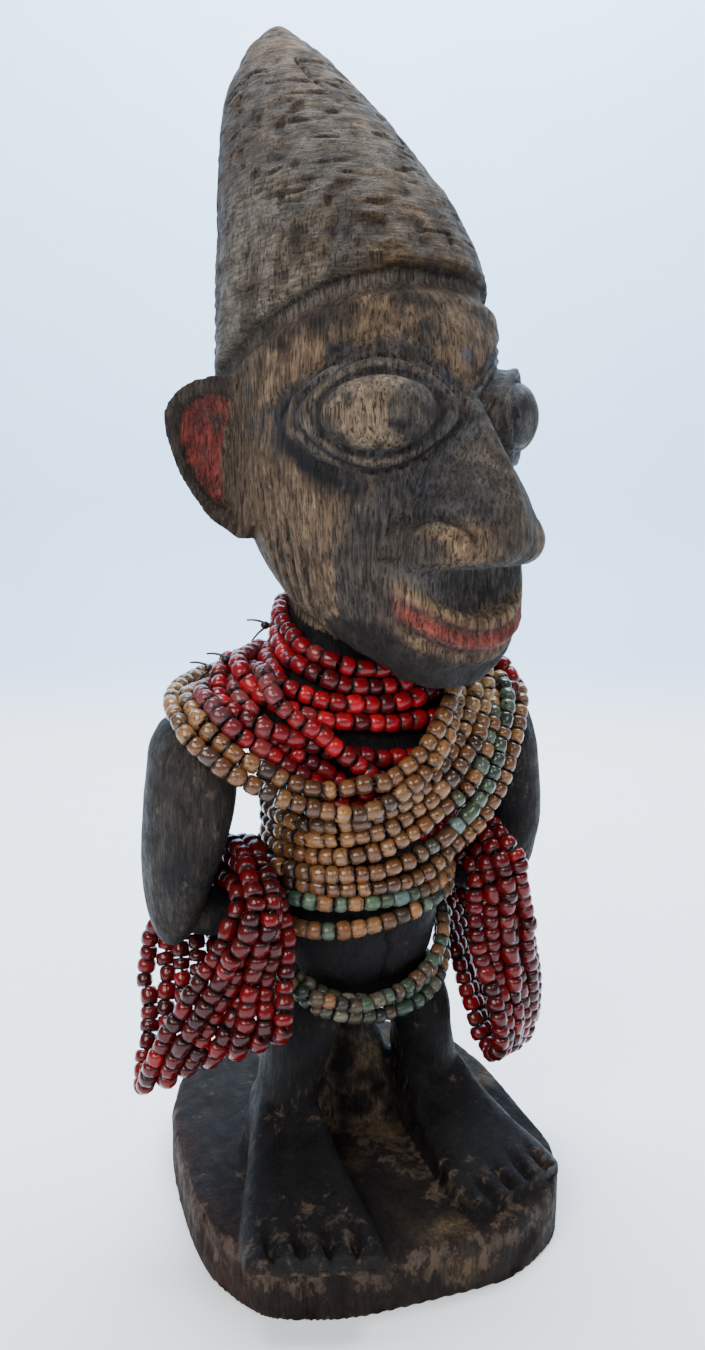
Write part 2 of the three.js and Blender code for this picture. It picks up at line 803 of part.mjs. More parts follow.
// Closed smooth curve through control points, with evenly spaced points.
const curvePieces = 12;
function smoothLoop(control, count) {
  const size = control.length;
  const dense = control.flatMap((p1, i) => {
    const p0 = control[(i + size - 1) % size];
    const p2 = control[(i + 1) % size];
    const p3 = control[(i + 2) % size];
    return steps(curvePieces + 1, 0, 1)
      .slice(0, curvePieces)
      .map((u) =>
        p1.map((v, k) => {
          const first = (p2[k] - p0[k]) * u;
          const second = (2 * p0[k] - 5 * v + 4 * p2[k] - p3[k]) * u ** 2;
          const third = (3 * v - p0[k] - 3 * p2[k] + p3[k]) * u ** 3;
          return v + (first + second + third) / 2;
        }),
      );
  });
  return spread(dense, count);
}

// Collars: over the outer right shoulder, down the chest and up to the left shoulder
const collarControl = [
  [-42.5, 0, 115],
  [-41.6, 11.5, 107.5],
  [-35, 16, 98.5],
  [-27, 18.8, 93],
  [-18, 22.5, 90],
  [-8, 25, 89.8],
  [2, 25.5, 93.5],
  [9, 23.5, 101],
  [17, 18, 110.5],
  [25, 8, 118.5],
  [23, -7, 121.5],
  [11, -18, 121],
  [-8, -18, 119],
  [-25, -16, 117.5],
  [-38, -10, 116.5],
];
const collarShift = { across: 3.8, up: 3, depth: 15 };

// Sashes: round the right side of the waist and up over the left shoulder, first and last
const sashFirst = [
  [-20.5, 12.5, 85.3],
  [-14, 19.5, 86.5],
  [-7.7, 22, 88.7],
  [2, 24.5, 94.5],
  [13, 23, 103],
  [22, 15.5, 111.5],
  [23, 3, 119],
  [18, -11, 120],
  [6, -17.5, 111],
  [-7, -17.5, 100],
  [-17, -12.5, 90.5],
  [-22.5, 0, 85.5],
];
const sashLast = [
  [-20.5, 12.5, 70.4],
  [-13, 20, 69.8],
  [-3, 22.3, 70.2],
  [8.4, 20.5, 73],
  [26, 17.5, 83],
  [31.5, 16.5, 98],
  [40.5, 8, 112.5],
  [39, -5, 116],
  [24, -17, 106],
  [6, -18, 87],
  [-14, -15, 73.5],
  [-22.5, 0, 70.4],
];

function collarRoute(order) {
  const control = collarControl.map(([x, f, z]) => {
    const low = THREE.MathUtils.clamp(f / collarShift.depth, 0, 1);
    const inwards = x < 0 ? collarShift.across * (1 - low) : 0;
    return [x + inwards * order, f, z + collarShift.up * low * order];
  });
  return smoothLoop(control, stringFacets.along);
}

function sashRoute(order) {
  const share = sashStrings > 1 ? order / (sashStrings - 1) : 0;
  const control = sashFirst.map((p, i) => p.map((v, k) => v + (sashLast[i][k] - v) * share));
  return smoothLoop(control, stringFacets.along);
}

// Wrist loops: where they hang over the hand, and the bottoms of the innermost and outermost
const wristTop = { start: 26.5, pace: 1.5, lift: 2.4, reach: 4.0, tiers: 3 };
const wristInner = {
  front: [0, 0, 69],
  frontLow: [28, 17, 55],
  frontTurn: [30, 23, 45],
  bottom: [30, 18, 39.5],
  backTurn: [29, 11, 45],
  backLow: [28, 0, 56],
  back: [0, 0, 68],
};
const wristOuter = {
  front: [1, 0, 71],
  frontLow: [43, 14, 53],
  frontTurn: [52, 7, 36],
  bottom: [54, 0, 24],
  backTurn: [51, -7, 34],
  backLow: [49, -14, 52],
  back: [7, 0, 70],
};

// How far each side's loops are drawn out downwards, innermost and outermost.
const wristStretch = { right: [1, 1], left: [1.8, 1.32] };

// Route of one wrist loop: over the hand, down in front of it, round the bottom and up behind.
function wristLoop(side, stretch, order, bead) {
  const share = wristStrings > 1 ? order / (wristStrings - 1) : 0;
  const tier = order % wristTop.tiers;
  const mix = (key) => wristInner[key].map((v, k) => v + (wristOuter[key][k] - v) * share);
  const start = wristTop.start + wristTop.pace * order;
  const reach = handSize[1] + wristTop.reach + bead * tier;
  const [frontOut, , frontHeight] = mix("front");
  const [backOut, , backHeight] = mix("back");
  const control = [
    [start, handCentre[1], handCentre[2] + handSize[2] + wristTop.lift + bead * tier],
    [start + frontOut, handCentre[1] + reach, frontHeight + tier],
    mix("frontLow"),
    mix("frontTurn"),
    mix("bottom"),
    mix("backTurn"),
    mix("backLow"),
    [start + backOut, handCentre[1] - reach, backHeight + tier],
  ];
  const longer = stretch[0] + (stretch[1] - stretch[0]) * share;
  const hung = (z) => (z < handCentre[2] ? handCentre[2] + (z - handCentre[2]) * longer : z);
  return smoothLoop(control, stringFacets.wristAlong).map(([x, f, z]) => [side * x, f, hung(z)]);
}

// Every string with its name, colour, bead size and first route.
function stringRoutes() {
  const bead = beadDiameter / unit;
  const wristBead = wristBeadDiameter / unit;
  const close = bead / 2 + woodGap;
  const routes = [];
  const add = (group, count, colour, diameter, route) => {
    for (let i = 0; i < count; i += 1) {
      const gap = diameter > bead ? wristWoodGap : woodGap;
      routes.push({ name: `${group}_${i + 1}`, colour, diameter, gap, points: route(i) });
    }
  };
  const drawn = (group, count, colour, tie) =>
    add(group, count, colour, bead, (i) =>
      tautLoop(Object.fromEntries(Object.entries(tie).map(([key, v]) => [key, tieAt(v, i)])), close),
    );
  drawn("neck_string", neckStrings, "red", ties.neck);
  drawn("shoulder_string", shoulderStrings, "red", ties.shoulder);
  add("collar_string", collarStrings, "tan", bead, collarRoute);
  add("sash_string", sashStrings, "tan", bead, sashRoute);
  drawn("waist_string", waistStrings, "tan", ties.waist);
  drawn("hip_string", hipStrings, "dark", ties.hip);
  for (const [word, side] of [["right", -1], ["left", 1]]) {
    add(`${word}_wrist_string`, wristStrings, "red", wristBead, (i) =>
      wristLoop(side, wristStretch[word], i, wristBead),
    );
  }
  return routes;
}

// Closest places on two straight stretches, as shares along each, and the gap between them.
function closest(p, a, b, c, d) {
  const [u, v, w] = [[], [], []];
  for (let k = 0; k < 3; k += 1) {
    u[k] = p[b + k] - p[a + k];
    v[k] = p[d + k] - p[c + k];
    w[k] = p[a + k] - p[c + k];
  }
  const dot = (m, n) => m[0] * n[0] + m[1] * n[1] + m[2] * n[2];
  const [uu, uv, vv, uw, vw] = [dot(u, u), dot(u, v), dot(v, v), dot(u, w), dot(v, w)];
  const clamp = (t) => Math.min(Math.max(t, 0), 1);
  const area = uu * vv - uv * uv;
  let s = area > tiny ? clamp((uv * vw - vv * uw) / area) : 0.5;
  const t = clamp((uv * s + vw) / vv);
  s = clamp((uv * t - uw) / uu);
  const away = [0, 1, 2].map((k) => w[k] + u[k] * s - v[k] * t);
  return { s, t, away, gap: Math.hypot(...away) + tiny };
}

// Let the strings settle: beads push each other and the wood apart, and the shifts even out.
const settling = { rounds: 240, relist: 8, reach: 3, push: 0.4, stiffness: 0.1, loose: 120 };

function settle(routes) {
  const starts = [];
  const nodes = routes.flatMap((route, r) => {
    starts[r] = r === 0 ? 0 : starts[r - 1] + routes[r - 1].points.length;
    return route.points.map((_, i) => {
      const size = route.points.length;
      return { r, next: starts[r] + ((i + 1) % size), back: starts[r] + ((i + size - 1) % size) };
    });
  });
  const radius = nodes.map((node) => routes[node.r].diameter / 2);
  const clear = nodes.map((node) => routes[node.r].diameter / 2 + routes[node.r].gap);
  const first = Float64Array.from(routes.flatMap((route) => route.points.flat()));
  const shift = new Float64Array(first.length);
  const place = Float64Array.from(first);
  let pairs = [];
  for (let round = 0; round < settling.rounds; round += 1) {
    if (round % settling.relist === 0) pairs = nearPairs(nodes, radius, place);
    const push = new Float64Array(first.length);
    for (const [i, j] of pairs) pushBeads(nodes, radius, place, push, i, j);
    nodes.forEach((node, i) => pushWood(node, clear[i], place, push, i));
    const stiff = round > settling.rounds - settling.loose ? 0 : settling.stiffness;
    const old = Float64Array.from(shift);
    nodes.forEach((node, i) => {
      for (let k = 0; k < 3; k += 1) {
        const even = (old[3 * node.back + k] + old[3 * node.next + k]) / 2 - old[3 * i + k];
        shift[3 * i + k] += push[3 * i + k] + stiff * even;
        place[3 * i + k] = first[3 * i + k] + shift[3 * i + k];
      }
    });
  }
  nodes.forEach((node, i) => {
    routes[node.r].points[i - starts[node.r]] = [...place.subarray(3 * i, 3 * i + 3)];
  });
  return routes;
}

// Stretches of different strings that lie near enough to touch soon.
function nearPairs(nodes, radius, place) {
  const middle = nodes.map((node, i) =>
    [0, 1, 2].map((k) => (place[3 * i + k] + place[3 * node.next + k]) / 2),
  );
  const half = nodes.map((node, i) =>
    Math.hypot(...[0, 1, 2].map((k) => middle[i][k] - place[3 * i + k])),
  );
  const pairs = [];
  for (let i = 0; i < nodes.length; i += 1) {
    for (let j = i + 1; j < nodes.length; j += 1) {
      if (nodes[i].r === nodes[j].r) continue;
      const near = half[i] + half[j] + radius[i] + radius[j] + settling.reach;
      const [dx, dy, dz] = [0, 1, 2].map((k) => middle[i][k] - middle[j][k]);
      if (dx * dx + dy * dy + dz * dz < near * near) pairs.push([i, j]);
    }
  }
  return pairs;
}

function pushBeads(nodes, radius, place, push, i, j) {
  const [a, b, c, d] = [3 * i, 3 * nodes[i].next, 3 * j, 3 * nodes[j].next];
  const { s, t, away, gap } = closest(place, a, b, c, d);
  const need = radius[i] + radius[j] + beadGap;
  if (gap >= need) return;
  const move = (settling.push * (need - gap)) / gap;
  for (let k = 0; k < 3; k += 1) {
    push[a + k] += away[k] * move * (1 - s);
    push[b + k] += away[k] * move * s;
    push[c + k] -= away[k] * move * (1 - t);
    push[d + k] -= away[k] * move * t;
  }
}

// Push a node, and the middle of the stretch after it, off the wood.
const probe = 0.2;
function pushWood(node, need, place, push, i) {
  const [a, b] = [3 * i, 3 * node.next];
  for (const share of [0, 0.5]) {
    const at = [0, 1, 2].map((k) => place[a + k] * (1 - share) + place[b + k] * share);
    const gap = woodDistance(allWood, ...at);
    if (gap >= need) continue;
    const slope = [0, 1, 2].map((k) => {
      const [more, less] = [[...at], [...at]];
      more[k] += probe;
      less[k] -= probe;
      return woodDistance(allWood, ...more) - woodDistance(allWood, ...less);
    });
    const size = Math.hypot(...slope) + tiny;
    slope.forEach((v, k) => {
      const move = (v / size) * (need - gap);
      push[a + k] += move * (1 - share);
      push[b + k] += move * share;
    });
  }
}

// A string as a plain closed tube along its route.
function stringGeometry(route) {
  const line = route.points.map((p) => new THREE.Vector3(...standing(...p)));
  const radius = (route.diameter * unit * tubeShare) / 2;
  const { points, faces } = tubeRings(line, radius, stringFacets.round);
  return geometryOf(solidFrom(points, faces));
}

function geometryOf(solid) {
  const mesh = solid.getMesh();
  const geometry = new THREE.BufferGeometry();
  geometry.setAttribute("position", new THREE.BufferAttribute(mesh.vertProperties, 3));
  geometry.setIndex(new THREE.BufferAttribute(mesh.triVerts, 1));
  geometry.computeVertexNormals();
  return geometry;
}

const finishes = {
  wood: new THREE.MeshStandardMaterial({ color: 0x2e241c, roughness: 0.7, metalness: 0 }),
  red: new THREE.MeshStandardMaterial({ color: 0x8c1220, roughness: 0.25, metalness: 0 }),
  tan: new THREE.MeshStandardMaterial({ color: 0x9c7142, roughness: 0.35, metalness: 0 }),
  dark: new THREE.MeshStandardMaterial({ color: 0x2c3a32, roughness: 0.3, metalness: 0 }),
};

const ibeji = new THREE.Group();
function addPiece(name, geometry, finish) {
  const mesh = new THREE.Mesh(geometry, finishes[finish]);
  mesh.name = name;
  ibeji.add(mesh);
}

addPiece("figure", geometryOf(figureSolid()), "wood");
for (const route of settle(stringRoutes())) {
  addPiece(route.name, stringGeometry(route), route.colour);
}

export default ibeji;
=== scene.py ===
from math import radians
from types import SimpleNamespace
import bpy
import numpy as np
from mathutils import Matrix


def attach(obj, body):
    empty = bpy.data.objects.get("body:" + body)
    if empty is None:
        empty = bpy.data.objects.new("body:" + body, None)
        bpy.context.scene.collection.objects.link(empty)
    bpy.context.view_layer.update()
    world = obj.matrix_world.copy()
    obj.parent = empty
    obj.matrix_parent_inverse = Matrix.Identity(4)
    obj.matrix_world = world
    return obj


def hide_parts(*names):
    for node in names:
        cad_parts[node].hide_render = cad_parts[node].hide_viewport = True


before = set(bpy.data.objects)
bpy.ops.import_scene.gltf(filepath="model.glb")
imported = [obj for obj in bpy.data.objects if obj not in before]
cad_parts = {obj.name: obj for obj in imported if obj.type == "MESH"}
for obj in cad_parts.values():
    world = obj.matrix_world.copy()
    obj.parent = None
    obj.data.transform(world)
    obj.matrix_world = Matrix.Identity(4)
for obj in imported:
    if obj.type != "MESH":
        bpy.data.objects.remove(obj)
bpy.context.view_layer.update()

# Sizes, in millimetres and radians.
MM = 0.001
BASE_THICK = 13.5
BASE_HALF, BASE_TURN = (45.7, 51.5), radians(9.8)
FIGURE_AT = (-2.0, -4.2)
HEAD_TURN = radians(11)
FACE_SLANT = 0.055
# Floor behind the object: its turn, its reach, where it bends up and how round.
FLOOR_TURN, FLOOR_REACH, FLOOR_BEND, FLOOR_ROUND = radians(28), 900, 420, 200
RNG = np.random.default_rng(41)
VOXEL = 0.62
WOOD_TRIANGLES = 192000

# Station tables of the carving, in millimetres above the base top: height, back, front, half width.
TRUNK = np.array([
    [38, 9, 9, 9], [41, 13, 12, 14.5], [47, 17, 15, 19], [54, 18.5, 17, 20.5], [62, 17.5, 18.5, 20.8],
    [72, 15, 19.8, 20.2], [82, 14.5, 19.8, 20], [92, 14.5, 19, 21.5], [100, 15, 18, 26], [106, 15, 17, 34],
    [110, 14.5, 16, 37.5], [113.5, 13.5, 15, 36], [116.5, 13.5, 15, 28.5], [120, 14.5, 15, 21],
    [124, 14.5, 14.5, 17], [131, 14, 13.5, 15.6], [141, 12.5, 14.5, 15], [148, 10, 16, 14.5]])
SKULL = np.array([
    [118, -27, 36, 5.5], [120, -25, 37.6, 9.6], [124, -18, 39.8, 15.8], [128, -9, 41, 19.2],
    [134.5, 5, 41.4, 22], [144.5, 17, 40.6, 24.4], [156.5, 26, 39.4, 26], [168.5, 32, 38.6, 27],
    [181.5, 34.8, 37.6, 26.9], [193, 35.6, 35.2, 25.8], [202, 35.6, 31, 24.4], [211, 34.6, 25.4, 22.4]])
CAP = np.array([
    [180, 38, 34.8, 28.2], [194, 37.6, 34, 27.6], [204.5, 37.6, 32.2, 27], [212.5, 38, 28.8, 26.2],
    [221.5, 38.6, 23.2, 24.4], [229.5, 39.4, 16.6, 22.6], [236.5, 40, 10.6, 20.8], [246.5, 41, 1.2, 17.8],
    [254.5, 40.7, -7, 15], [261.5, 39, -13.9, 11], [267.5, 36, -21.5, 7], [271.8, 31, -27, 2.4]])
CAP_POWER = 2.15
# Limbs: height, distance out, half width, half depth, forward.
ARM = np.array([
    [58.4, 46.7, .8, 1.2, 0], [60.5, 46.6, 3.2, 4.8, 0], [65, 46.2, 5.2, 8.4, 0], [72, 45.3, 6.9, 11.6, 0],
    [80, 43.8, 8.4, 13.8, 0], [89, 42.2, 9.5, 14.6, 0], [100, 40.8, 9.7, 14.2, 0], [108, 39, 9, 11.5, 0],
    [112, 37.2, 5.5, 8, 0], [113.8, 36, 1.5, 3, 0]])
LEG = np.array([
    [-1.5, 21, 9.6, 12, 1], [8, 20.6, 8.2, 10.4, 1.5], [16, 19.8, 7.2, 9, 2.5], [26, 17.8, 7.4, 9.4, 2.5],
    [36, 15, 9, 11.6, 1], [46, 12, 8, 10, 0]])
# Wood left standing between the ankles.
WEB = np.array([
    [-1.5, 0, 16, 10, -9], [10, 0, 15, 8.5, -10], [19, 0, 13, 6.5, -11], [25.5, 0, 10, 4, -11.5]])
# Foot from the heel forwards: distance from the ankle, half width, height.
FOOT = np.array([
    [-14, 4.6, 10], [-11, 7, 14.5], [-3, 8.4, 18.5], [7, 9.2, 18], [15, 11, 12.4], [25, 13.2, 7.8],
    [35, 14.8, 5], [42, 14.4, 3.8]])
TOE_CLEFTS = (-.6, -.2, .2, .6)
# Nose upwards: height, half width, front, how far forward its edges lie.
NOSE = np.array([
    [143.8, 17, 50, 38.6], [145.4, 18.5, 51.6, 40.2], [150.5, 18, 52.4, 40.4], [156.5, 15.4, 51.4, 39.4],
    [163, 11.8, 48.4, 38], [171, 7.6, 43.6, 36.4], [180, 3.6, 37.8, 33]])
# Muzzle upwards: height, half width, front.
MUZZLE = np.array([
    [119.5, 8.4, 34], [121.5, 11.6, 37], [125, 15.2, 40.2], [129.5, 18.2, 42.6], [136, 20, 43.8],
    [146, 20.5, 43]])
SMILE_HALF, SMILE_RISE = 17.5, 7.2
MOUTH_FLOOR, MOUTH_CORNER, MOUTH_DEEP = 133.6, 141.4, 39.4
# Bands under the mouth's hollow: height of the middle, how far they stand out, half thickness.
BANDS = ((131.9, 1.0, 1.9), (128.2, 2.0, 2.1), (124.4, 1.1, 1.6))
TEETH_PITCH = 2.9
EYE_OUT, EYE_FORWARD, EYE_HEIGHT, EYE_FACING = 19.2, 31.6, 174.6, radians(37)
EYE_BALL, EYE_MOUND, EYE_EDGE = (12.2, 5.8, 7.9), (16.6, 4.5, 10.6), (11.6, 7.4)
LID_ACROSS, LID_UP, LID_POINT, LID_THICK, LID_LIFT = 14.8, 9.6, .34, 1.15, .5
# Ear outline: share of its height, share of its reach.
EAR = np.array([[.01, .04], [.15, .42], [.34, .72], [.56, .93], [.76, 1], [.9, .87], [.97, .66], [1, .4]])
EAR_FOOT, EAR_TALL, EAR_OUT, EAR_BACK = 149, 36, 25.2, 7
EAR_ROOT, EAR_REACH, EAR_SWEEP = 1.5, 18, radians(51)
# Cuts of the face. Round the eye: depth, share of its almond, width, height from which it shows. Down the
# cheek: angle, foot and head of each scar.
LID_CREASES = ((-.35, 1.03, .025, 0), (-.45, 1.17, .04, 0), (.3, 1.27, .06, 170), (-.4, 1.38, .05, 172),
               (-.65, 1.62, .08, 174))
SCARS = ((70, 126, 150), (79, 127, 156), (88, 131, 161), (97, 138, 164))

# Each group of strings: bead diameter, bead length, share drawn taut, slot.
GROUPS = {
    "neck_string": (4.25, 3.7, .25, "red_beads"), "shoulder_string": (4.25, 3.5, .25, "red_beads"),
    "collar_string": (4.15, 3.5, .2, "tan_beads"), "sash_string": (4.05, 3.4, .22, "tan_beads"),
    "waist_string": (3.95, 3.4, .25, "mixed_beads"), "hip_string": (3.6, 3.1, .05, "dark_beads"),
    "right_wrist_string": (4.35, 3.4, .02, "red_beads"), "left_wrist_string": (4.35, 3.4, .02, "red_beads")}
CORD_CORNERS = 4
# Half a bead's length and its radius, as shares, along its outline.
PROFILE = np.array([[-.97, .34], [-.9, .82], [-.42, 1.0], [.42, 1.0], [.9, .82], [.97, .34]])
BEAD_SIDES, THREAD_RADIUS = 10, .42
# How beads settle: share of their radii at which they touch, how far apart they still draw together, how
# strongly they part, join and sink in a round, and the most that one moves.
BEAD_TOUCH, BEAD_REACH, BEAD_PART, BEAD_JOIN, BEAD_SINK, BEAD_STEP = .985, 1.5, .35, .035, .13, .6
# Tied thread ends: reach, rise, sag and thickness of the knot and the two ends.
KNOTTED = ("neck_string_1", "neck_string_2", "neck_string_4")
KNOT_SIDE, KNOT_BACK = np.array([-.883, .469, 0]), np.array([.469, .883, 0])
KNOT_ENDS = ((2.2, .3, .2, 1.0), (5.6, 3.4, 2.2, .36), (4.4, -1.2, 2.6, .33))

# Display colours of the paints and glass.
PIGMENT, GREY, THREAD = (36, 38, 46), (64, 62, 62), (26, 20, 18)
RED = [(122, 10, 20), (102, 7, 16), (144, 16, 24), (74, 7, 14), (124, 40, 40)]
TAN = [(136, 98, 64), (118, 80, 50), (154, 116, 78), (92, 64, 44), (66, 48, 38)]
GREEN = [(58, 72, 52), (70, 84, 68), (44, 60, 48), (80, 102, 96)]
BROWN = [(70, 58, 44), (52, 54, 44), (88, 84, 68), (40, 40, 36)]


def through(rows, at):
    """Smooth curve through a table's rows: cubic Hermite pieces whose slope at each row is that of its
    two neighbours, and nothing where the column turns. Gives all columns at the wanted keys."""
    key, val = rows[:, 0], rows[:, 1:]
    rise = np.diff(val, axis=0) / np.diff(key)[:, None]
    slope = np.zeros_like(val)
    slope[0], slope[-1] = rise[0], rise[-1]
    mid = (val[2:] - val[:-2]) / (key[2:] - key[:-2])[:, None]
    slope[1:-1] = np.where(rise[1:] * rise[:-1] > 0, mid, 0)
    t = np.clip(np.asarray(at, float), key[0], key[-1])
    i = np.clip(np.searchsorted(key, t, side="right") - 1, 0, len(key) - 2)
    span = (key[i + 1] - key[i])[..., None]
    u = (t - key[i])[..., None] / span
    h = u * u * (3 - 2 * u)
    return (val[i] * (1 - h) + val[i + 1] * h
            + slope[i] * span * u * (1 - u) ** 2 - slope[i + 1] * span * u * u * (1 - u))


def smooth(x, low, high):
    """0 below low, 1 above high, and a smooth step between."""
    t = np.clip((x - low) / (high - low), 0, 1)
    return t * t * (3 - 2 * t)


def near(x, middle, width):
    """Bell curve: 1 at the middle, falling off over the width."""
    return np.exp(-((x - middle) / width) ** 2)


def grain(p, scale, seed):
    """Smooth value noise between -1 and 1: random numbers on a lattice of the given pitch, blended by
    smooth steps along each axis. scale is one pitch in millimetres, or one for each axis."""
    q = p / np.broadcast_to(np.asarray(scale, float), p.shape) + seed * 17.31
    base = np.floor(q).astype(np.int64)
    w = q - base
    w = w * w * (3 - 2 * w)
    total = np.zeros(len(p))
    for corner in range(8):
        bit = np.array([corner & 1, corner >> 1 & 1, corner >> 2 & 1])
        cell = base + bit
        h = (cell[:, 0] * 374761393 + cell[:, 1] * 668265263 + cell[:, 2] * 2147483647 + seed * 974711)
        h = (h ^ (h >> 13)) * 1274126177
        value = ((h ^ (h >> 16)) & 0xFFFFF) / 0x7FFFF - 1.0
        total += value * np.prod(np.where(bit, w, 1 - w), axis=1)
    return total


def layered(p, scale, seed, layers=3):
    """Sum of grain at halving pitch and strength."""
    scale = np.asarray(scale, float)
    total = sum(grain(p, scale / 2 ** k, seed + k) / 2 ** k for k in range(layers))
    return total / (2 - .5 ** (layers - 1))


def turn(sides):
    """Angles of a ring's sides."""
    return np.arange(sides) / sides * 2 * np.pi - np.pi


def unit(v):
    """Rows brought to length 1."""
    return v / np.linalg.norm(v, axis=1, keepdims=True)


def spun(x, f, angle):
    """Place turned in the level plane: x cos + f sin, f cos - x sin."""
    s, c = np.sin(angle), np.cos(angle)
    return x * c + f * s, f * c - x * s


def oval(angle, across, along, power):
    """Superellipse: sine and cosine raised to 2/power, times the half sizes."""
    s, c = np.sin(angle), np.cos(angle)
    return (across * (np.sign(s) * np.abs(s) ** (2 / power)),
            along * (np.sign(c) * np.abs(c) ** (2 / power)))


def ring(angle, back, front, across, power):
    """Level oval that reaches back and front by different amounts, at the angles."""
    x, f = oval(angle, across, (front + back) / 2, power)
    return x, (front - back) / 2 + f


def columns(table, z):
    """A table's columns at a list of heights, each as an upright column that a row of sides can meet."""
    return np.moveaxis(through(table, np.ravel(z)), -1, 0)[..., None]


def standing(x, f, z):
    """Figure's frame (across, forwards, height above the base) to the part's millimetres."""
    x, f, z = np.broadcast_arrays(x, f, z)
    return np.stack([FIGURE_AT[0] + x, FIGURE_AT[1] - f, BASE_THICK + z], -1)


def head(x, f, z):
    """Head's frame, which is turned about the neck, to the part's millimetres."""
    return standing(*spun(x, f, HEAD_TURN), z)


def face(x, f, z):
    """Face's frame, which slants with the distance across, to the part's millimetres."""
    return head(x, f, z + FACE_SLANT * np.asarray(x))


def ring_quads(rings, sides, closed=False):
    """Corners of every quad between neighbouring rings; closed joins the last ring to the first."""
    r, s = np.meshgrid(np.arange(rings - (not closed)), np.arange(sides), indexing="ij")
    up, n = (r + 1) % rings, (s + 1) % sides
    return np.stack([r * sides + s, r * sides + n, up * sides + n, up * sides + s], -1).reshape(-1, 4)


def halves(quads):
    """Each quad as two triangles."""
    return np.concatenate([quads[:, [0, 1, 2]], quads[:, [0, 2, 3]]])


def outward(verts, faces):
    """Faces turned outwards: their enclosed volume, a sum of triple products, is made positive."""
    t = verts[faces] - verts.mean(0)
    volume = sum(np.einsum("ij,ij->", t[:, 0], np.cross(t[:, k], t[:, k + 1]))
                 for k in range(1, faces.shape[1] - 1))
    return faces[:, ::-1] if volume < 0 else faces


def grid_mesh(points):
    """Closed skin of a grid of points (rings by sides): two triangles between neighbours, and a fan to
    the middle of each end ring."""
    rings, sides = points.shape[:2]
    s = np.arange(sides)
    n, last = (s + 1) % sides, (rings - 1) * sides
    faces = np.concatenate([
        halves(ring_quads(rings, sides)), np.stack([n, s, np.full(sides, rings * sides)], -1),
        np.stack([last + s, last + n, np.full(sides, rings * sides + 1)], -1)])
    verts = np.concatenate([points.reshape(-1, 3), points[0].mean(0)[None], points[-1].mean(0)[None]])
    return verts, outward(verts, faces)


def tube(line, radius, sides):
    """Tube along a closed line of points: at each, a circle square to the run between its neighbours."""
    ahead = unit(np.roll(line, -1, 0) - np.roll(line, 1, 0))
    out = line - line.mean(0)
    out -= ahead * np.sum(out * ahead, 1, keepdims=True)
    out /= np.maximum(np.linalg.norm(out, axis=1, keepdims=True), 1e-9)
    over = np.cross(ahead, out)
    t = turn(sides)[None, :, None]
    verts = (line[:, None] + radius * (out[:, None] * np.cos(t) + over[:, None] * np.sin(t))).reshape(-1, 3)
    return verts, outward(verts, halves(ring_quads(len(line), sides, True)))


def joined(parts):
    """Several skins as one list of points and faces."""
    shift = np.cumsum([0] + [len(v) for v, _ in parts[:-1]])
    return np.concatenate([v for v, _ in parts]), np.concatenate([f + k for (_, f), k in zip(parts, shift)])


def mesh_object(name, verts, *groups):
    """Mesh object from millimetres, smooth shaded, at the origin. Groups are quads or triangles."""
    mesh = bpy.data.meshes.new(name)
    corners = np.concatenate([g.ravel() for g in groups]).astype(np.int32)
    totals = np.concatenate([np.full(len(g), g.shape[1]) for g in groups]).astype(np.int32)
    mesh.vertices.add(len(verts))
    mesh.vertices.foreach_set("co", (verts * MM).astype(np.float32).ravel())
    mesh.loops.add(len(corners))
    mesh.loops.foreach_set("vertex_index", corners)
    mesh.polygons.add(len(totals))
    mesh.polygons.foreach_set("loop_start", (np.cumsum(totals) - totals).astype(np.int32))
    mesh.polygons.foreach_set("loop_total", totals)
    mesh.update(calc_edges=True)
    mesh.validate()
    mesh.polygons.foreach_set("use_smooth", np.ones(len(mesh.polygons), bool))
    obj = bpy.data.objects.new(name, mesh)
    bpy.context.scene.collection.objects.link(obj)
    return obj


def mesh_rows(items, field):
    """A mesh's places or normals as rows of three."""
    flat = np.empty(len(items) * 3, np.float32)
    items.foreach_get(field, flat)
    return flat.reshape(-1, 3).astype(float)


def add_attribute(mesh, name, kind, values):
    """Puts one colour or number for each point on a mesh."""
    layer = mesh.attributes.new(name, kind, "POINT")
    if kind == "FLOAT_COLOR":
        flat = np.concatenate([values, np.ones((len(values), 1))], 1).astype(np.float32)
        layer.data.foreach_set("color", flat.ravel())
    else:
        layer.data.foreach_set("value", np.asarray(values, np.float32))


def settle_modifier(obj, kind, **values):
    """Adds one modifier, sets its values and makes its result the object's mesh."""
    mod = obj.modifiers.new(kind.lower(), kind)
    for key, value in values.items():
        setattr(mod, key, value)
    done = bpy.data.meshes.new_from_object(obj.evaluated_get(bpy.context.evaluated_depsgraph_get()))
    obj.modifiers.clear()
    old = obj.data
    obj.data = done
    bpy.data.meshes.remove(old)


# Solid forms of the carving.
def stack(table, power, side=0, rings=90, sides=72):
    """Stack of level ovals, each a superellipse. A trunk table gives back and front; a limb table gives
    a centre that stands out to one side."""
    z = np.linspace(table[0, 0], table[-1, 0], rings)[:, None]
    t = turn(sides)[None, :]
    if side:
        out, across, along, mid = columns(table, z)
        x, f = oval(t, across, along, power)
        return grid_mesh(standing(side * out + x, mid + f, z))
    return grid_mesh(standing(*ring(t, *columns(table, z), power), z))


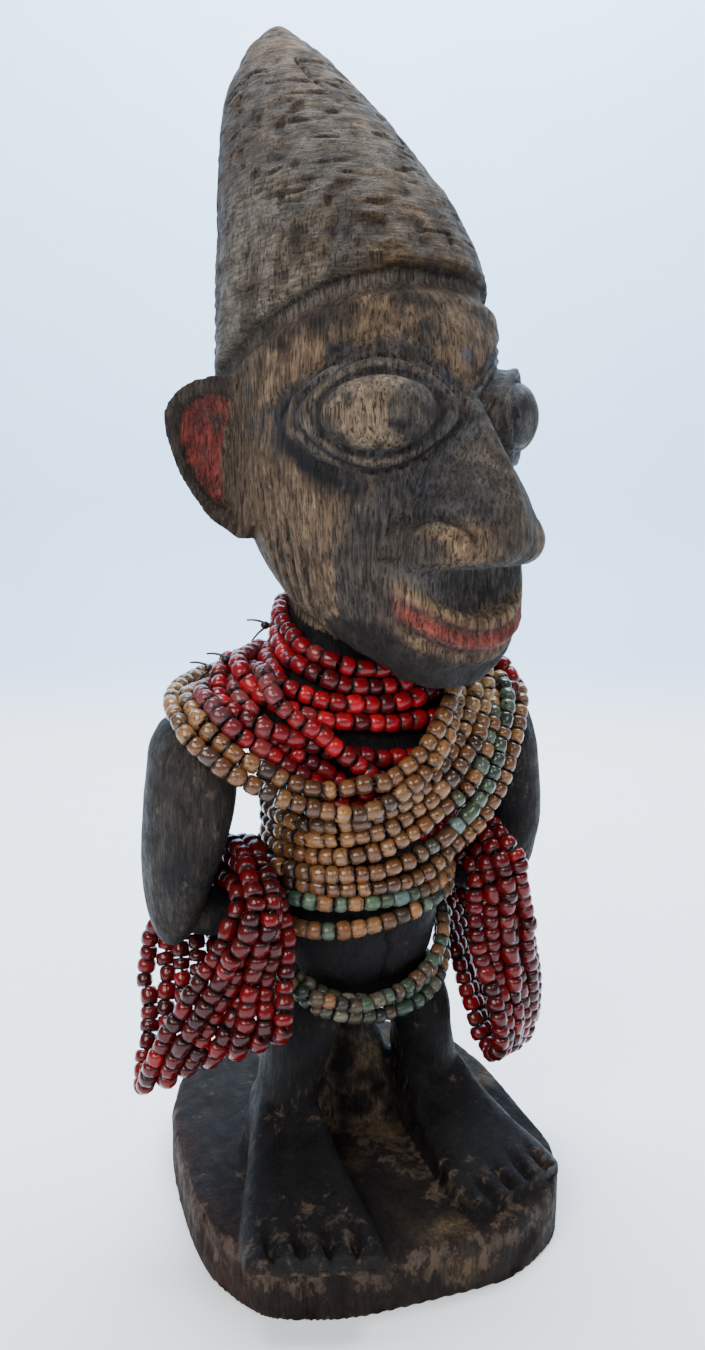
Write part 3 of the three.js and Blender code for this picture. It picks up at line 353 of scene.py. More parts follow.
def base_form():
    """Oval block: a superellipse ring of power 3.1, its edges rounded by small insets, turned a little.
    Three sines make the outline wave slightly, as a block squared by hand does."""
    inset = np.array([.8, .25, 0, 0, 0, 0, 0, .25, .9, 2.2])[:, None]
    z = np.array([0, .3, .8, 3, 5.5, 8, 10.6, 12, 13, BASE_THICK])
    t = turn(260)[None, :]
    wave = .45 * np.sin(3 * t + 1) + .3 * np.sin(7 * t) + .2 * np.sin(13 * t + 2)
    x, y = oval(t, BASE_HALF[0] - inset, BASE_HALF[1] - inset, 3.1)
    scale = 1 + (wave - .6) / 60
    x, y = spun(x * scale, y * scale, BASE_TURN)
    return grid_mesh(np.stack([x, y, np.broadcast_to(z[:, None], x.shape)], -1))


def egg(centre, size, facing, place, rings=34, sides=44):
    """Ellipsoid about a centre, turned by facing in the level plane."""
    lat = np.linspace(.02, np.pi - .02, rings)[:, None]
    t = turn(sides)[None, :]
    x, f = spun(size[0] * np.sin(lat) * np.cos(t), size[1] * np.sin(lat) * np.sin(t), facing)
    z = size[2] * np.cos(lat) + 0 * t
    return grid_mesh(place(centre[0] + x, centre[1] + f, centre[2] + z))


def skull_place(angle, z, lift):
    """Place on the skull at an angle round it (0 faces forwards) and a height, lifted off its surface."""
    back, front, across = np.moveaxis(through(SKULL, z), -1, 0) + lift
    return ring(angle, back, front, across, 2.5)


def socket(angle, z):
    """Depth of the two eye hollows: bells that are flat in the middle, exp of minus the square of
    (u squared + v squared), with u the angle from the eye's and v the height from it."""
    u = (np.abs(angle) - radians(41.5)) / radians(38)
    v = (z - (EYE_HEIGHT + 1 + FACE_SLANT * EYE_OUT * np.sign(angle))) / 12.4
    return 2.6 * np.exp(-((u * u + v * v) ** 2))


def muzzle_front(x, z):
    """Front of the muzzle: falls back from the middle as the 2.7th power of the share of half width."""
    row = through(MUZZLE, z)
    return row[..., 1] - 12.5 * np.minimum(np.abs(x) / (row[..., 0] + 2), 1.4) ** 2.7


def mouth_cut(x, f, z):
    """Pushes a surface back to the floor of the open mouth: a hollow under the nose whose lower edge
    rises with the square of the distance out, deepest in the middle and running out at the corners."""
    share = np.clip(np.abs(x) / SMILE_HALF, 0, 1) ** 2
    lower = MOUTH_FLOOR + (MOUTH_CORNER - MOUTH_FLOOR) * share
    floor = MOUTH_DEEP + (muzzle_front(x, MOUTH_CORNER) - MOUTH_DEEP) * share
    inside = smooth(z, lower - .3, lower + .3) * (1 - smooth(z, 144.1, 144.7)) * (np.abs(x) < SMILE_HALF)
    return f - inside * np.maximum(f - floor, 0)


def skull_form():
    """Rings of the skull at close heights, denser over the face, with the eye hollows and mouth cut in."""
    z = np.linspace(118, 208.5, 170)[:, None]
    t = turn(240)[None, :]
    angle = t - .11 * np.sin(t) * (1 - np.cos(t))
    x, f = skull_place(angle, z + 0 * t, -socket(angle, z))
    f = np.where(np.cos(angle) > .3, mouth_cut(x, f, z - FACE_SLANT * x), f)
    return grid_mesh(head(x, f, z + 0 * t))


def cap_angle(x, f, z):
    """Angle round the cap's oval of a place in the head's frame."""
    back, front, across = np.moveaxis(through(CAP, z), -1, 0)
    u, v = x / np.maximum(across, 1), (f - (front - back) / 2) / ((front + back) / 2)
    power = CAP_POWER / 2
    return np.arctan2(np.sign(u) * np.abs(u) ** power, np.sign(v) * np.abs(v) ** power)


def rim_height(t):
    """Lower edge of the cap: highest over the forehead, lowest behind."""
    return 193.5 + 11.5 * np.cos(t) - 1.1 * np.cos(2 * t)


def cap_form():
    """Tall pointed cap: ovals from its rim to the tip, its edge turned in under itself."""
    share = np.concatenate([[0, .008, .03], np.linspace(.06, 1, 90)])[:, None]
    inset = np.concatenate([[1.1, 0, -.15], np.zeros(90)])[:, None]
    t = turn(200)[None, :]
    rim = rim_height(t)
    z = rim + (CAP[-1, 0] - rim) * share
    back, front, across = np.moveaxis(through(CAP, z), -1, 0) - inset
    outer = head(*ring(t, back, front, across, CAP_POWER), z)
    inner = head(*skull_place(t, rim + 2.5, -6), rim + 2.5)
    return grid_mesh(np.concatenate([inner, outer]))


def face_shell(x, f, z, half):
    """Front of a piece of the face, closed by a plain back within the skull."""
    xs = np.concatenate([x, .8 * half, -.8 * half], 1)
    fs = np.concatenate([f, np.full((len(f), 2), 24.0)], 1)
    return grid_mesh(face(xs, fs, z + 0 * xs))


def nose_form():
    """Ridge that broadens into wings: front minus (front - edge) times |u| to a power from 1.9 to 1."""
    z = np.linspace(NOSE[0, 0], NOSE[-1, 0], 64)[:, None]
    half, front, edge = columns(NOSE, z)
    u = np.linspace(-1, 1, 41)[None, :]
    bend = 1.9 - .9 * (z - NOSE[0, 0]) / (NOSE[-1, 0] - NOSE[0, 0])
    f = front - (front - edge) * np.abs(u) ** bend - .9 * near(z, NOSE[0, 0], 1.4) * (1 - u * u)
    return face_shell(u * half, f, z, half)


def muzzle_form():
    """Front of the jaw, from its table, with the mouth's hollow cut into it."""
    z = np.linspace(MUZZLE[0, 0], MUZZLE[-1, 0], 90)[:, None]
    half = columns(MUZZLE, z)[0]
    x = np.linspace(-1, 1, 61)[None, :] * half
    return face_shell(x, mouth_cut(x, muzzle_front(x, z + 0 * x), z), z, half)


def band_form(height, stand, thick):
    """Rounded band across the muzzle that turns up with the square of the share outwards."""
    x = np.linspace(-SMILE_HALF, SMILE_HALF, 60)[:, None]
    share = np.abs(x) / SMILE_HALF
    z = height + SMILE_RISE * share ** 2
    r = thick * (1 - .4 * share ** 3)
    front = muzzle_front(x, z) + stand * (1 - share ** 3) - r
    t = turn(18)[None, :]
    return grid_mesh(face(x + 0 * t, front + r * np.cos(t), z + r * np.sin(t)))


def lid_form(side):
    """Almond-shaped rim round the eyeball, square to the way the eye faces: an ellipse whose height
    narrows with the square of the cosine."""
    t = turn(90)
    z = LID_UP * np.sin(t) * (1 - LID_POINT * np.cos(t) ** 2)
    across, forward = spun(LID_ACROSS * np.cos(t), LID_LIFT, side * EYE_FACING)
    return tube(face(side * EYE_OUT + across, EYE_FORWARD + forward, EYE_HEIGHT + z), LID_THICK, 10)


def ear_form(side):
    """Cupped flap: its height runs up the outline table, its reach sweeps out and back, and its front
    face is hollowed by the product of two sines."""
    share = np.linspace(.01, 1, 60)[:, None]
    reach = EAR_ROOT + EAR_REACH * np.maximum(columns(EAR, share)[0], .04)
    u = np.concatenate([np.linspace(-.25, 1, 22), np.linspace(1, -.25, 22)])[None, :]
    in_front = np.arange(44)[None, :] < 22
    pos = np.maximum(u, 0)
    cup = -4.3 * np.sin(np.pi * pos) * np.sin(np.pi * share)
    edge = np.sqrt(np.clip(1 - np.clip((u - .8) / .2, 0, 1) ** 2, 0, 1)) * .75 + .25
    thick = 1.7 * (1 - .25 * pos) * edge * (.5 + .5 * smooth(1 - share, 0, .12))
    lift = np.where(in_front, cup + thick, cup * .7 - thick)
    s, c = np.sin(EAR_SWEEP), np.cos(EAR_SWEEP)
    x = EAR_OUT + u * reach * c + lift * s
    f = -EAR_BACK - u * reach * s + lift * c
    return grid_mesh(head(side * x, f, EAR_FOOT + EAR_TALL * share + 0 * u))


def foot_form(side, splay):
    """Wedge from the heel forwards with a rounded section of power 3.8, parted into toes by four grooves
    that deepen towards the front, the toe ends rounded in plan."""
    forward = np.linspace(FOOT[0, 0], FOOT[-1, 0], 120)[:, None]
    half, height = columns(FOOT, forward)
    v = np.linspace(-1, 1, 81)[None, :]
    toe = smooth(forward, 31, 41)
    plump = np.cos(v * np.pi * 2.5) ** 2
    z = height * (1 - np.abs(v) ** 3.8) ** (1 / 3.8) - 3.2 * toe * sum(near(v, k, .055) for k in TOE_CLEFTS)
    z = np.maximum(z + .7 * toe * plump, -1.6)
    across = v * half
    run = forward - side * across * .2 * (forward + 14) / 56 + 1.5 * smooth(forward, 39, 42) * (plump - .6)
    xs = np.concatenate([across, half, -half], 1)
    fs = np.concatenate([run, run[:, -1:], run[:, :1]], 1)
    zs = np.concatenate([z, np.full((len(z), 2), -2.0)], 1)
    x, f = spun(xs, fs, side * splay)
    return grid_mesh(standing(side * 20 + x, 1 + f, zs))


def wood_forms():
    """All the carving's forms, each a closed skin; the remesh makes them one."""
    forms = [base_form(), stack(TRUNK, 2.2, rings=150, sides=120), skull_form(), cap_form(), nose_form(),
             muzzle_form()]
    forms += [band_form(*band) for band in BANDS]
    for side in (-1, 1):
        forms += [
            stack(ARM, 2.0, side), stack(LEG, 2.3, side),
            foot_form(side, radians(15 if side < 0 else .8)),
            egg((side * 34.6, 2.5, 65), (11.2, 6.5, 5.5), 0, standing),
            egg((side * EYE_OUT, EYE_FORWARD, EYE_HEIGHT), EYE_BALL, side * EYE_FACING, face),
            egg((side * EYE_OUT, EYE_FORWARD - 2.5, EYE_HEIGHT), EYE_MOUND, side * EYE_FACING, face),
            lid_form(side), ear_form(side)]
    return forms + [stack(WEB, 3.4, 1)]


# Relief of the carving.
def frames_of(p):
    """Places of part points in the figure's and the head's frames."""
    X, F, Z = p[:, 0] - FIGURE_AT[0], FIGURE_AT[1] - p[:, 1], p[:, 2] - BASE_THICK
    return X, F, Z, *spun(X, F, -HEAD_TURN)


def eye_rings(hx, hf, slant):
    """Distance from the nearer eye as shares of its almond: 1 on the lid's line, less over the ball. The
    almond narrows towards its corners with the square of the cosine, as the lid does. With it the same
    for the ball's own ellipse, and how far out to the temple's side the place lies (in its half widths)."""
    lid, ball, outer = np.full(len(hx), 9.0), np.full(len(hx), 9.0), np.zeros(len(hx))
    v = slant - EYE_HEIGHT
    for side in (-1, 1):
        u, w = spun(hx - side * EYE_OUT, hf - EYE_FORWARD, -side * EYE_FACING)
        across = u / LID_ACROSS
        q = np.hypot(across, v / (LID_UP * (1 - LID_POINT * np.minimum(across ** 2, 1))))
        here = (w > -24) & (q < lid) & (hf > -4)
        lid = np.where(here, q, lid)
        ball = np.where(here, np.hypot(u / EYE_EDGE[0], v / EYE_EDGE[1]), ball)
        outer = np.where(here, side * across, outer)
    return lid, ball, outer


def zones(p):
    """Places of the points and masks of the carving's regions, from 0 to 1, which relief and colour both
    read: X, F, Z in the figure's frame, hx, hf in the head's, wide the distance from the face's middle,
    slant the height along the face, smile the same less the rise of the mouth's bands."""
    X, F, Z, hx, hf = frames_of(p)
    wide, slant = np.abs(hx), Z - FACE_SLANT * hx
    over = Z - rim_height(cap_angle(hx, hf, np.maximum(Z, 186)))
    skull_back = through(SKULL, np.clip(Z, 118, 209))[:, 0]
    in_head = (hf > -skull_back - 1.5) & (Z > 117) | (Z > 150)
    head_mask = smooth(Z, 112, 118) * in_head
    eye, ball, outer = eye_rings(hx, hf, slant)
    share = np.clip((Z - EAR_FOOT) / EAR_TALL, .01, 1)
    out, lift = spun(wide - EAR_OUT, hf + EAR_BACK, -EAR_SWEEP)
    out = out / (EAR_ROOT + EAR_REACH * through(EAR, share)[:, 0])
    bulge = np.sin(np.pi * np.clip(out, 0, 1)) * np.sin(np.pi * share)
    hollow = (np.abs(out - .45) / .40) ** 2.6 + (np.abs(share - .56) / .35) ** 2.6
    beside = (hf < 3) & (Z > 147) & (Z < 187)
    arm_row = through(ARM, Z)
    arms = (np.abs(X) > np.maximum(arm_row[:, 0] - arm_row[:, 1] - .6, 31)) & (Z > 55) & (Z < 114)
    cap = head_mask * smooth(over, -.2, .2) * (Z > 170)
    return SimpleNamespace(
        X=X, F=F, Z=Z, hx=hx, hf=hf, wide=wide, slant=slant, over=over, eye=eye, ball=ball, outer=outer,
        angle=np.degrees(np.arctan2(hx, hf - 4)), head=head_mask, cap=cap, skin=head_mask * (1 - cap),
        smile=slant - SMILE_RISE * np.clip(wide / SMILE_HALF, 0, 1.35) ** 2,
        ear_cup=smooth(1.12 - hollow, 0, .3) * (lift > -3.65 * bulge - .4) * (wide > 27.2) * beside,
        ears=(wide > 27.5) & beside & (head_mask > .5), arms=arms, base=Z < .3, legs=(Z < 48) & (Z >= .3))


def scars(m):
    """Long cuts down each cheek: thin bells in the angle round the head, between two heights."""
    total = np.zeros(len(m.Z))
    for side in (-1, 1):
        for angle, low, high in SCARS:
            along = smooth(m.Z, low, low + 4) * (1 - smooth(m.Z, high - 5, high))
            total += near(m.angle, side * (angle + (m.Z - 145) * .12), 1.5) * along * (m.hf < 34)
    return np.minimum(total, 1)


def wing_cut(m):
    """Arched cut round each wing of the nose: a bell about a parabola that opens downwards."""
    arch = 154.2 - .17 * (m.wide - 14.6) ** 2
    return near(m.slant, arch, .8) * smooth(m.wide, 8.2, 9.6) * (1 - smooth(m.wide, 18, 19.5)) * (m.hf > 33)


def teeth_cuts(p, m):
    """Upright cuts between the teeth: the peaks of a cosine across the mouth."""
    return smooth(np.cos(m.hx * 2 * np.pi / TEETH_PITCH + .6 * grain(p, 5, 26)), .55, .95)


def nose_relief(m):
    """Carving of the nose: the wings swell at its lower corners under an arched cut, and a ridge runs up
    its middle."""
    here = (m.hf > 33) * smooth(m.slant, 142.5, 144.5)
    swell = near(m.wide, 13.2, 3.8) * near(m.slant, 148.6, 3.4)
    ridge = near(m.wide, 0, 1.5) * smooth(m.slant, 152, 156) * (1 - smooth(m.slant, 176, 182))
    return here * (.9 * swell + .4 * ridge) - 1.2 * wing_cut(m)


def relief(p):
    """Depth to add along the normal at each point, in millimetres: tool marks, fibres, cuts and cracks."""
    m = zones(p)
    warped = p + 1.2 * np.stack([grain(p, 9, 3), grain(p, 9, 4), grain(p, 9, 5)], 1)
    # Cap: shallow facets and near-level strokes of the knife.
    d = m.cap * (.34 * layered(warped, (5.5, 5.5, 1.5), 11) + .36 * layered(p, (8, 8, 12), 12, 2))
    d -= m.cap * .55 * smooth(grain(p, (2.6, 2.6, 8), 13), .4, .75)
    d -= m.cap * .45 * smooth(layered(warped, (7, 7, 1.1), 14, 2), .25, .6)
    # Cove under the cap's rim.
    below = m.skin * (m.Z > 172)
    d += below * (.35 * near(-m.over, 6.3, 1.2) - 1.6 * near(-m.over, 2.2, 2.0))
    # Face: upright fibres, lid creases, scars, nose, ears.
    rough = .16 + .12 * smooth(grain(p, 13, 22), -.35, .3)
    d += m.skin * (smooth(m.eye, 1.0, 1.5) * rough * layered(p, (1.5, 1.5, 9), 21) + .22 * grain(p, 6, 23))
    lidded = m.skin * (m.eye < 3)
    d -= lidded * .7 * near(m.ball, 1.07, .06) * (m.eye < 1)
    for depth, share, width, low in LID_CREASES:
        d += lidded * depth * near(m.eye, share, width) * smooth(m.slant, low, low + 6)
    d += lidded * .16 * near(m.ball, 0, .8) * grain(p, (1.2, 1.2, 5), 24)
    d += m.skin * (nose_relief(m) - .95 * scars(m)) - .8 * m.ear_cup
    # Teeth in the band under the mouth's hollow.
    teeth = near(m.smile, 132.4, 1.5) * (m.hf > 30) * (m.wide < 15)
    d -= m.skin * .7 * teeth * teeth_cuts(p, m)
    # Trunk, arms, and the wood between the ankles.
    body = (1 - m.head) * (m.Z > 6)
    d += body * (.34 * layered(p, (7, 7, 13), 31, 2) + .12 * layered(p, (1.6, 1.6, 10), 32))
    d += m.arms * .14 * layered(p, (1.3, 1.3, 9), 33)
    web = (np.abs(m.X) < 15) * (m.F < 2) * smooth(m.Z, .5, 2) * (m.Z < 27)
    d += web * (1.5 * layered(p, (6, 6, 5), 35, 2) + .3 * layered(p, (1.6, 1.6, 8), 36))
    # Base: long tool marks on the top, upright ones on the side.
    top = m.base * smooth(m.Z, -1.2, -.1)
    side = m.base * (1 - smooth(m.Z, -1.4, -.3)) * (m.Z > .6 - BASE_THICK)
    d += top * (.75 * layered(p, (4, 13, 9), 41) - .2) + side * (.5 * layered(p, (3.2, 3.2, 12), 42) - .2)
    d -= .9 * side * smooth(grain(p, (5, 5, 10), 43), .4, .75)
    # Cracks: up the cap's crown, down the belly.
    crack = near(m.hx + 7 + 1.2 * grain(p, 5, 51), 0, .45) * smooth(m.Z, 246, 252) * (m.hf > -12)
    belly = (m.F > 10) * smooth(62 - m.Z, 0, 3) * (m.Z > 44)
    return d - np.minimum(crack + near(m.X + 1.2 * grain(p, 4, 52), 0, .5) * belly, 1)


# Colour of the wood.
def tint(red, green, blue):
    """A paint's colour from its display values (0 to 255) to linear."""
    v = np.array([red, green, blue]) / 255
    return np.where(v <= .04045, v / 12.92, ((v + .055) / 1.055) ** 2.4)


def lay(base, paint, mask):
    """Lays a paint over a coat by its mask."""
    return base + (paint - base) * np.clip(mask * 1.0, 0, 1)[:, None]


def coats(base, *layers):
    """Paints laid over a coat one after another: pairs of display values and mask, the lowest first. The
    display values of a paint may have a fourth one, which dims it."""
    for (red, green, blue, *dim), mask in layers:
        base = lay(base, tint(red, green, blue) * (dim[0] if dim else 1), mask)
    return base


def body_coat(m, top, web):
    """Trunk and legs bluish black with brown wear, arms of worn grey fibres, base and feet dark brown and
    rubbed lighter. top and web are the masks of the base's top and of the wood between the ankles."""
    feet = m.legs * (m.Z < 24) * (1 - web)
    edge = near(m.Z, -.6, 1.6) + .8 * near(m.Z, -7, 4) * smooth(m.broad, -.1, .5)
    rub = np.clip(edge, 0, 1) * smooth(m.broad + .5 * m.mid, .15, .75)
    return coats(
        np.tile(tint(24, 21, 24), (len(m.Z), 1)),
        ((56, 44, 36), smooth(m.mid + .5 * m.fine, .3, .95) * .6),
        ((14, 15, 22), smooth(m.broad, .1, .7) * .8),
        ((46, 42, 40), m.arms),
        ((98, 88, 78), m.arms * smooth(m.broad + .6 * m.streak, -.3, .7) * .5),
        ((24, 26, 34), m.arms * smooth(m.mid, .1, .5) * .75),
        ((38, 30, 27), m.base),
        ((132, 110, 86), m.base * rub * .85),
        ((18, 16, 17), m.base * smooth(m.mid - .3 * m.broad, .1, .6) * .75),
        ((70, 40, 28), m.base * smooth(6 * m.mid - m.X, 34, 44) * .6),
        ((84, 72, 58), top * smooth(m.mid + .6 * m.fine, .2, .9) * .4),
        ((116, 103, 88), web * smooth(m.mid + .7 * m.fine, -.6, .3) * .9),
        ((17, 14, 15), feet * .85),
        ((100, 78, 60), feet * smooth(m.fine + .6 * m.mid, .3, .9) * .5))


def face_coat(p, m, ring):
    """Worn brown fibres of the face with its paints: lids and eyes, brow, nose, mouth, scars and the ears;
    a painted highlight on the nose's wings, painted shade in the arched cuts round them and in the cove
    under the cap's rim. ring is the mask of the grey round the eyes."""
    grained, fine, bitten = m.fine + m.streak, m.mid + .5 * m.fine, m.bitten
    blots = smooth(fine, .22, .5)
    lidring = near(m.eye, 1.0, .09) + .8 * near(m.eye, 1.22, .06)
    ball = smooth(1.02 - m.ball, 0, .12)
    nose = (m.hf > 37) & (m.slant > 143) & (m.slant < 182)
    flank = nose * smooth(m.wide, 3.5, 7.5) * (m.slant > 152)
    wing = (m.hf > 33) * near(m.wide, 13.4, 4) * near(m.slant, 148.8, 4)
    inner = (near(m.slant, 157, 7.5) * smooth(25 - m.wide, 0, 5) * smooth(m.wide, 4, 8) * (m.hf > 16)
             * (1 - wing))
    corner = np.hypot((m.wide - 20) / 7.5, (m.slant - 141) / 15) - .45 * bitten
    chin = smooth(125.6 + 2.6 * bitten - m.smile, 0, 2.2) * (m.hf > 16) * (m.slant < 134)
    mouth = (m.hf > 30) * (m.wide < 24) * (1 - smooth(m.wide, 17, 20))
    teeth = mouth * near(m.smile, 132.3, 1.6)
    high = m.Z > 172
    inside = smooth(m.ear_cup + .2 * m.fine, .3, .7) * smooth(186 - m.Z, 0, 9)
    return coats(
        np.tile(tint(98, 82, 68), (len(m.Z), 1)),
        ((138, 120, 98), smooth(m.streak + .5 * m.fine, .1, .9)),
        ((58, 50, 44), smooth(.4 * m.mid - m.streak, .15, .9) * .8),
        ((30, 27, 25), smooth(grain(p, (1.1, 1.1, 4), 66), .45, .8) * .6),
        (GREY, ring * .95),
        (PIGMENT, ring * smooth(-bitten, .1, .6) * .6),
        ((20, 20, 25), m.temple * smooth(bitten, -1.1, -.3) * 1.3),
        ((102, 90, 78), lidring * smooth(grained, -1.0, .2) * .9),
        ((38, 38, 42), near(m.eye, 1.11, .04) * (m.eye < 3) * .8),
        ((38, 38, 42), near(m.ball, 1.08, .05) * (m.eye < 1) * .7),
        ((118, 103, 88), ball * smooth(grained, -.9, .2)),
        ((66, 60, 57), ball * smooth(-m.fine - .8 * m.streak, .1, .7) * .75),
        (PIGMENT, near(m.slant, 190, 7) * (m.hf > 5) * blots * .95),
        ((48, 62, 92), near(m.slant, 184, 5) * smooth(grain(p, 5, 71), .5, .75) * .8),
        (GREY, flank * .85),
        (PIGMENT, flank * blots * .8),
        ((*GREY, .9), nose * (1 - smooth(m.wide, 5, 9)) * smooth(bitten, -1.1, -.1) * .75),
        # Painted highlight: light brown on the swell of the nose's wings, where the light falls on them.
        ((146, 122, 98), wing * smooth(grained, -.9, .3) * .8),
        ((50, 50, 54), inner * smooth(bitten, -1.0, .1) * .95),
        # Painted shade: dark in the arched cut round each wing of the nose.
        ((40, 39, 42), wing_cut(m) * .8),
        ((*GREY, .85), smooth(1.1 - corner, 0, .35) * (m.hf > 22) * .9),
        ((34, 32, 34), chin * .95),
        ((74, 71, 72), mouth * (m.slant < 144.5) * (m.smile > 133)),
        ((132, 113, 90), teeth),
        ((48, 44, 42), teeth * teeth_cuts(p, m) * .75),
        ((124, 62, 57), mouth * near(m.smile, 128.4, 1.9) ** .6 * smooth(m.fine, -1.1, -.4)),
        ((112, 96, 78), mouth * near(m.smile, 124.6, 1.0) * .6),
        ((48, 46, 48), mouth * (near(m.smile, 130.4, .45) + near(m.smile, 126.2, .45)) * .8),
        ((44, 40, 38), scars(m) * .85),
        # Painted shade under the cap's overhanging rim: a grey band in the cove, darkened as painted shade,
        # and a dark line of painted shadow just under the rim's edge.
        ((78, 74, 72), near(-m.over, 2.2, 2.6) * high * .9),
        ((26, 24, 24), near(-m.over, .3, .7) * high * .8),
        ((24, 23, 28), near(-m.over, 7.5, 3.2) * high * smooth(m.mid + .6 * m.fine, -.35, .25) * .85),
        ((70, 64, 58), smooth(m.broad + .4 * m.fine, .35, .8) * .55),
        ((62, 56, 50), smooth(-m.hf, -6, 10) * .75),
        ((50, 45, 43), m.ears * .9),
        ((100, 46, 44), inside * smooth(m.fine + .5 * m.mid + .7, .0, .6)))


def cap_coat(p, m):
    """Ochre and grey-brown of the cap, paler down its right flank, with a painted highlight of pale grey
    light along its right edge, dark in the knife's strokes.
    """
    flank = smooth(grain(p, (9, 9, 22), 81) + .4 * m.fine, .15, .5) * smooth(-m.hx, 5, 15)
    return np.array([.84, .76, .65]) * coats(
        np.tile(tint(82, 72, 62), (len(m.Z), 1)),
        ((124, 104, 78), smooth(m.broad + .6 * m.level, -.1, .8) * .8),
        ((44, 40, 38), smooth(m.mid - .5 * m.level, .0, .6) * .8),
        ((136, 110, 74), near(m.hx, -3, 9) * smooth(m.mid + .5 * m.fine, -.3, .5) * .6),
        ((88, 86, 88), flank * .6),
        # Painted highlight: pale grey light along the cap's right edge, where light from the side and the
        # wall's reflection would catch it.
        ((142, 141, 142), smooth(-m.hx, 19, 27) * smooth(m.mid, -.7, .2) * .6),
        ((22, 20, 20), smooth(layered(p, (7, 7, 1.1), 14, 2), .3, .7) * .5),
        ((20, 19, 20), smooth(grain(p, (2.6, 2.6, 8), 13), .45, .8) * .55))


def wood_colour(p, m):
    """Coat of the carving at each point, linear colour and roughness: bare worn wood, pigment, red paint,
    grime and some painted shade and highlights on the face and cap, from the zones and layered noise
    (broad, middling, fine, upright streaks, level ones)."""
    m.broad, m.mid, m.fine = (layered(p, s, k) for s, k in ((16, 61), (7, 62), (3, 63)))
    m.streak, m.level = layered(p, (1.5, 1.5, 11), 64), layered(p, (7, 7, 1.6), 65)
    m.bitten = m.mid + .45 * m.fine + .25 * m.streak
    # The grey round the eyes reaches down and out to an arc, with a dark edge along it at the temple.
    edge = smooth(m.eye, .5, .8)
    arc = np.hypot(m.outer * LID_ACROSS / 18.6, (m.slant - EYE_HEIGHT) / 15.2) + .06 * m.bitten
    lower = smooth(m.outer, -.1, .4) * smooth(-m.slant, -183, -177) * (m.eye < 4)
    ring = smooth(1.75 + .5 * m.bitten - m.eye, 0, .3)
    ring = edge * np.maximum(ring, smooth(1.02 - arc, 0, .08) * lower)
    m.temple = near(arc, .99, .12) * lower
    top = m.base * (m.Z > -.5)
    web = m.legs * (1 - smooth(np.abs(m.X), 9, 13)) * (m.F < 3) * (m.Z < 28)
    shin = m.legs * (1 - web) * smooth(m.Z, 4, 12)
    c = lay(lay(body_coat(m, top, web), face_coat(p, m, ring), m.skin), cap_coat(p, m), m.cap)
    dim = .60 + .26 * m.skin - .24 * m.arms - .04 * m.cap - .32 * shin - .08 * top
    warm = m.head * (1 - .6 * ring * m.skin) + 1.3 * (1 - m.head) * (m.Z < 48)
    c = c * ((1 - .35 * smooth(m.fine, .3, .9)) * dim)[:, None] * (1 + warm[:, None] * [.06, 0, -.11])
    rough = (.5 + m.skin * (.12 + .12 * m.fine - .2 * ring) + m.cap * (.08 + .1 * m.level)
             + .14 * m.base - .04 * m.legs)
    return c, np.clip(rough, .3, .95)


def worn_patches(p, m):
    """How far handling has worn the dark coat to brown: most on the base's rim and the toes, some on legs
    and arms, little on the trunk."""
    n = layered(p, 12, 91, 2)
    toes = m.legs * smooth(m.F, 18, 36) * (m.Z < 16)
    heel = m.legs * near(m.Z, 14, 8) * .3
    rim = m.base * (near(m.Z, -4, 5) * (m.Z < -.6) * .95 + .12) * smooth(n, -.7, .2)
    channel = m.base * near(m.X - 2 - .25 * m.F, 0, 7) * (m.Z > -1) * smooth(m.F, -6, 4) * .8
    low = .16 + .1 * n + .22 * m.arms + (.45 * toes + heel) * smooth(n, -.6, .3) + rim + channel
    return np.clip(np.where(m.head > .5, .12 * m.skin + .3 * m.cap, low), 0, 1)


def carve_figure():
    """Union of the forms by a fine remesh, eased a little, pushed along its normals by the relief, and
    thinned where it is flat."""
    obj = mesh_object("carved_figure", *joined(wood_forms()))
    settle_modifier(obj, "REMESH", mode="VOXEL", voxel_size=VOXEL * MM)
    settle_modifier(obj, "SMOOTH", factor=.5, iterations=2)
    p = mesh_rows(obj.data.vertices, "co") / MM
    low = p[:, 2] < .45
    p = p + mesh_rows(obj.data.vertex_normals, "vector") * relief(p)[:, None]
    p[:, 2] = np.where(low, 0, np.maximum(p[:, 2], 0))
    obj.data.vertices.foreach_set("co", (p * MM).astype(np.float32).ravel())
    obj.data.update()
    triangles = 2 * len(obj.data.polygons)
    if triangles > WOOD_TRIANGLES:
        settle_modifier(obj, "DECIMATE", ratio=WOOD_TRIANGLES / triangles)
    mesh = obj.data
    mesh.polygons.foreach_set("use_smooth", np.ones(len(mesh.polygons), bool))
    p = mesh_rows(mesh.vertices, "co") / MM
    m = zones(p)
    colour, rough = wood_colour(p, m)
    add_attribute(mesh, "coat", "FLOAT_COLOR", colour)
    add_attribute(mesh, "coat_rough", "FLOAT", rough)
    add_attribute(mesh, "level_grain", "FLOAT", m.cap)
    add_attribute(mesh, "worn_patch", "FLOAT", worn_patches(p, m))
    return obj


